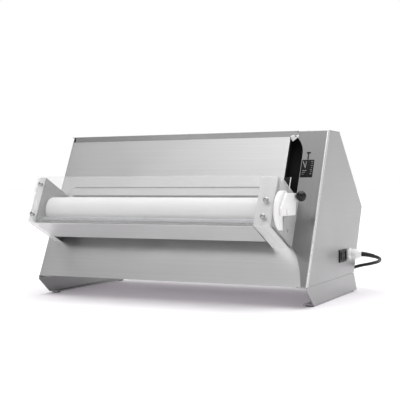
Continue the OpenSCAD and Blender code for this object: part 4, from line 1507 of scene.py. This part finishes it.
@dataclass(frozen=True)
class Studio:
    """Pale floor, a soft dome of light and the camera."""

    camera_at: Point = (0.963, -2.035, 0.2646)
    yaw: float = 25.13
    pitch: float = -0.87
    roll: float = -0.18
    lens: float = 82.02
    base: float = 0.40
    lobes: tuple[Lobe, ...] = (
        Lobe(0.0, 90.0, 2.5, 44.0, 26.0),
        Lobe(24.0, 40.0, 0.42, 22.0, 4.0),
        Lobe(-62.0, 25.0, 1.4, 18.0, 6.0),
        Lobe(21.0, 8.0, 3.2, 12.0, 2.0),
        Lobe(-155.0, 6.0, 0.6, 50.0, 10.0),
    )

    def place_camera(self) -> None:
        """Make the camera: a long lens at the front right, almost level."""
        data = bpy.data.cameras.new("camera")
        data.sensor_width = 36.0
        data.lens = self.lens
        data.clip_start = 0.05
        data.clip_end = 80.0
        camera = bpy.data.objects.new("camera", data)
        camera.matrix_world = (Matrix.Translation(self.camera_at)
                               @ Matrix.Rotation(math.radians(self.yaw), 4, "Z")
                               @ Matrix.Rotation(math.radians(90 + self.pitch), 4, "X")
                               @ Matrix.Rotation(math.radians(self.roll), 4, "Z"))
        bpy.context.scene.collection.objects.link(camera)
        bpy.context.scene.camera = camera

    def light_dome(self) -> None:
        """Make the world: a plain dome with soft patches of light.

        The light from a direction is the base plus, for each patch, its strength times a smooth step
        of the cosine of the angle from the patch's middle. The camera itself sees plain white.
        """
        scene = bpy.context.scene
        scene.view_settings.view_transform = "Standard"
        world = bpy.data.worlds.new("studio_dome")
        scene.world = world
        world.use_nodes = True
        tree = world.node_tree
        tree.nodes.clear()
        place = add_node(tree, "ShaderNodeTexCoord")
        total = None
        for lobe in self.lobes:
            near = add_node(tree, "ShaderNodeVectorMath", {"operation": "DOT_PRODUCT"},
                            values={1: lobe.direction()}, links={0: place.outputs["Generated"]})
            soft = add_node(tree, "ShaderNodeMapRange", {"interpolation_type": "SMOOTHSTEP"}, values={
                "From Min": math.cos(math.radians(lobe.outer)),
                "From Max": math.cos(math.radians(lobe.inner)),
                "To Min": 0.0, "To Max": lobe.strength}, links={"Value": near.outputs["Value"]})
            add = add_node(tree, "ShaderNodeMath", {"operation": "ADD"}, values={1: self.base},
                           links={0: soft.outputs["Result"]})
            if total is not None:
                tree.links.new(total, add.inputs[1])
            total = add.outputs["Value"]
        white = (1.0, 1.0, 1.0, 1.0)
        dome = add_node(tree, "ShaderNodeBackground", values={"Color": white}, links={"Strength": total})
        plain = add_node(tree, "ShaderNodeBackground", values={"Color": white, "Strength": 1.0})
        ray = add_node(tree, "ShaderNodeLightPath")
        pick = add_node(tree, "ShaderNodeMixShader", links={
            0: ray.outputs["Is Camera Ray"], 1: dome.outputs["Background"], 2: plain.outputs["Background"]})
        add_node(tree, "ShaderNodeOutputWorld", links={"Surface": pick.outputs["Shader"]})

    def lay_floor(self) -> None:
        """Make the worktop: a large pale matt sheet."""
        material, tree, shader = new_material("pale_matt_worktop")
        tone = noise(tree, (3.0, 3.0, 3.0))
        shader.inputs["Roughness"].default_value = 0.9
        shader.inputs["Specular IOR Level"].default_value = 0.05
        shader.inputs["Emission Color"].default_value = linear("a19ba2")
        shader.inputs["Emission Strength"].default_value = 0.45
        tree.links.new(tinted(tree, "e8e7e8", spread(tree, tone, 0.985, 1.0)), shader.inputs["Base Color"])
        side = 40.0
        points = np.array([[-side, -side, 0], [side, -side, 0], [side, side, 0], [-side, side, 0]])
        mesh = bpy.data.meshes.new("worktop")
        mesh.from_pydata(points.tolist(), [], [(0, 1, 2, 3)])
        floor = add_piece("worktop", mesh)
        floor.data.materials.append(material)

    def build(self) -> None:
        """Make the camera, the light and the floor."""
        self.place_camera()
        self.light_dome()
        self.lay_floor()


def main() -> None:
    """Build the studio and every sub-assembly, in order."""
    logging.basicConfig(level=logging.INFO, format="%(message)s", stream=sys.stdout)
    for part in (Studio(), MainsLead(), Cabinet(), Guard(), Rollers(), Lever(), SwitchAndGland()):
        LOG.info("building %s", type(part).__name__)
        part.build()


if __name__ == "__main__":
    main()
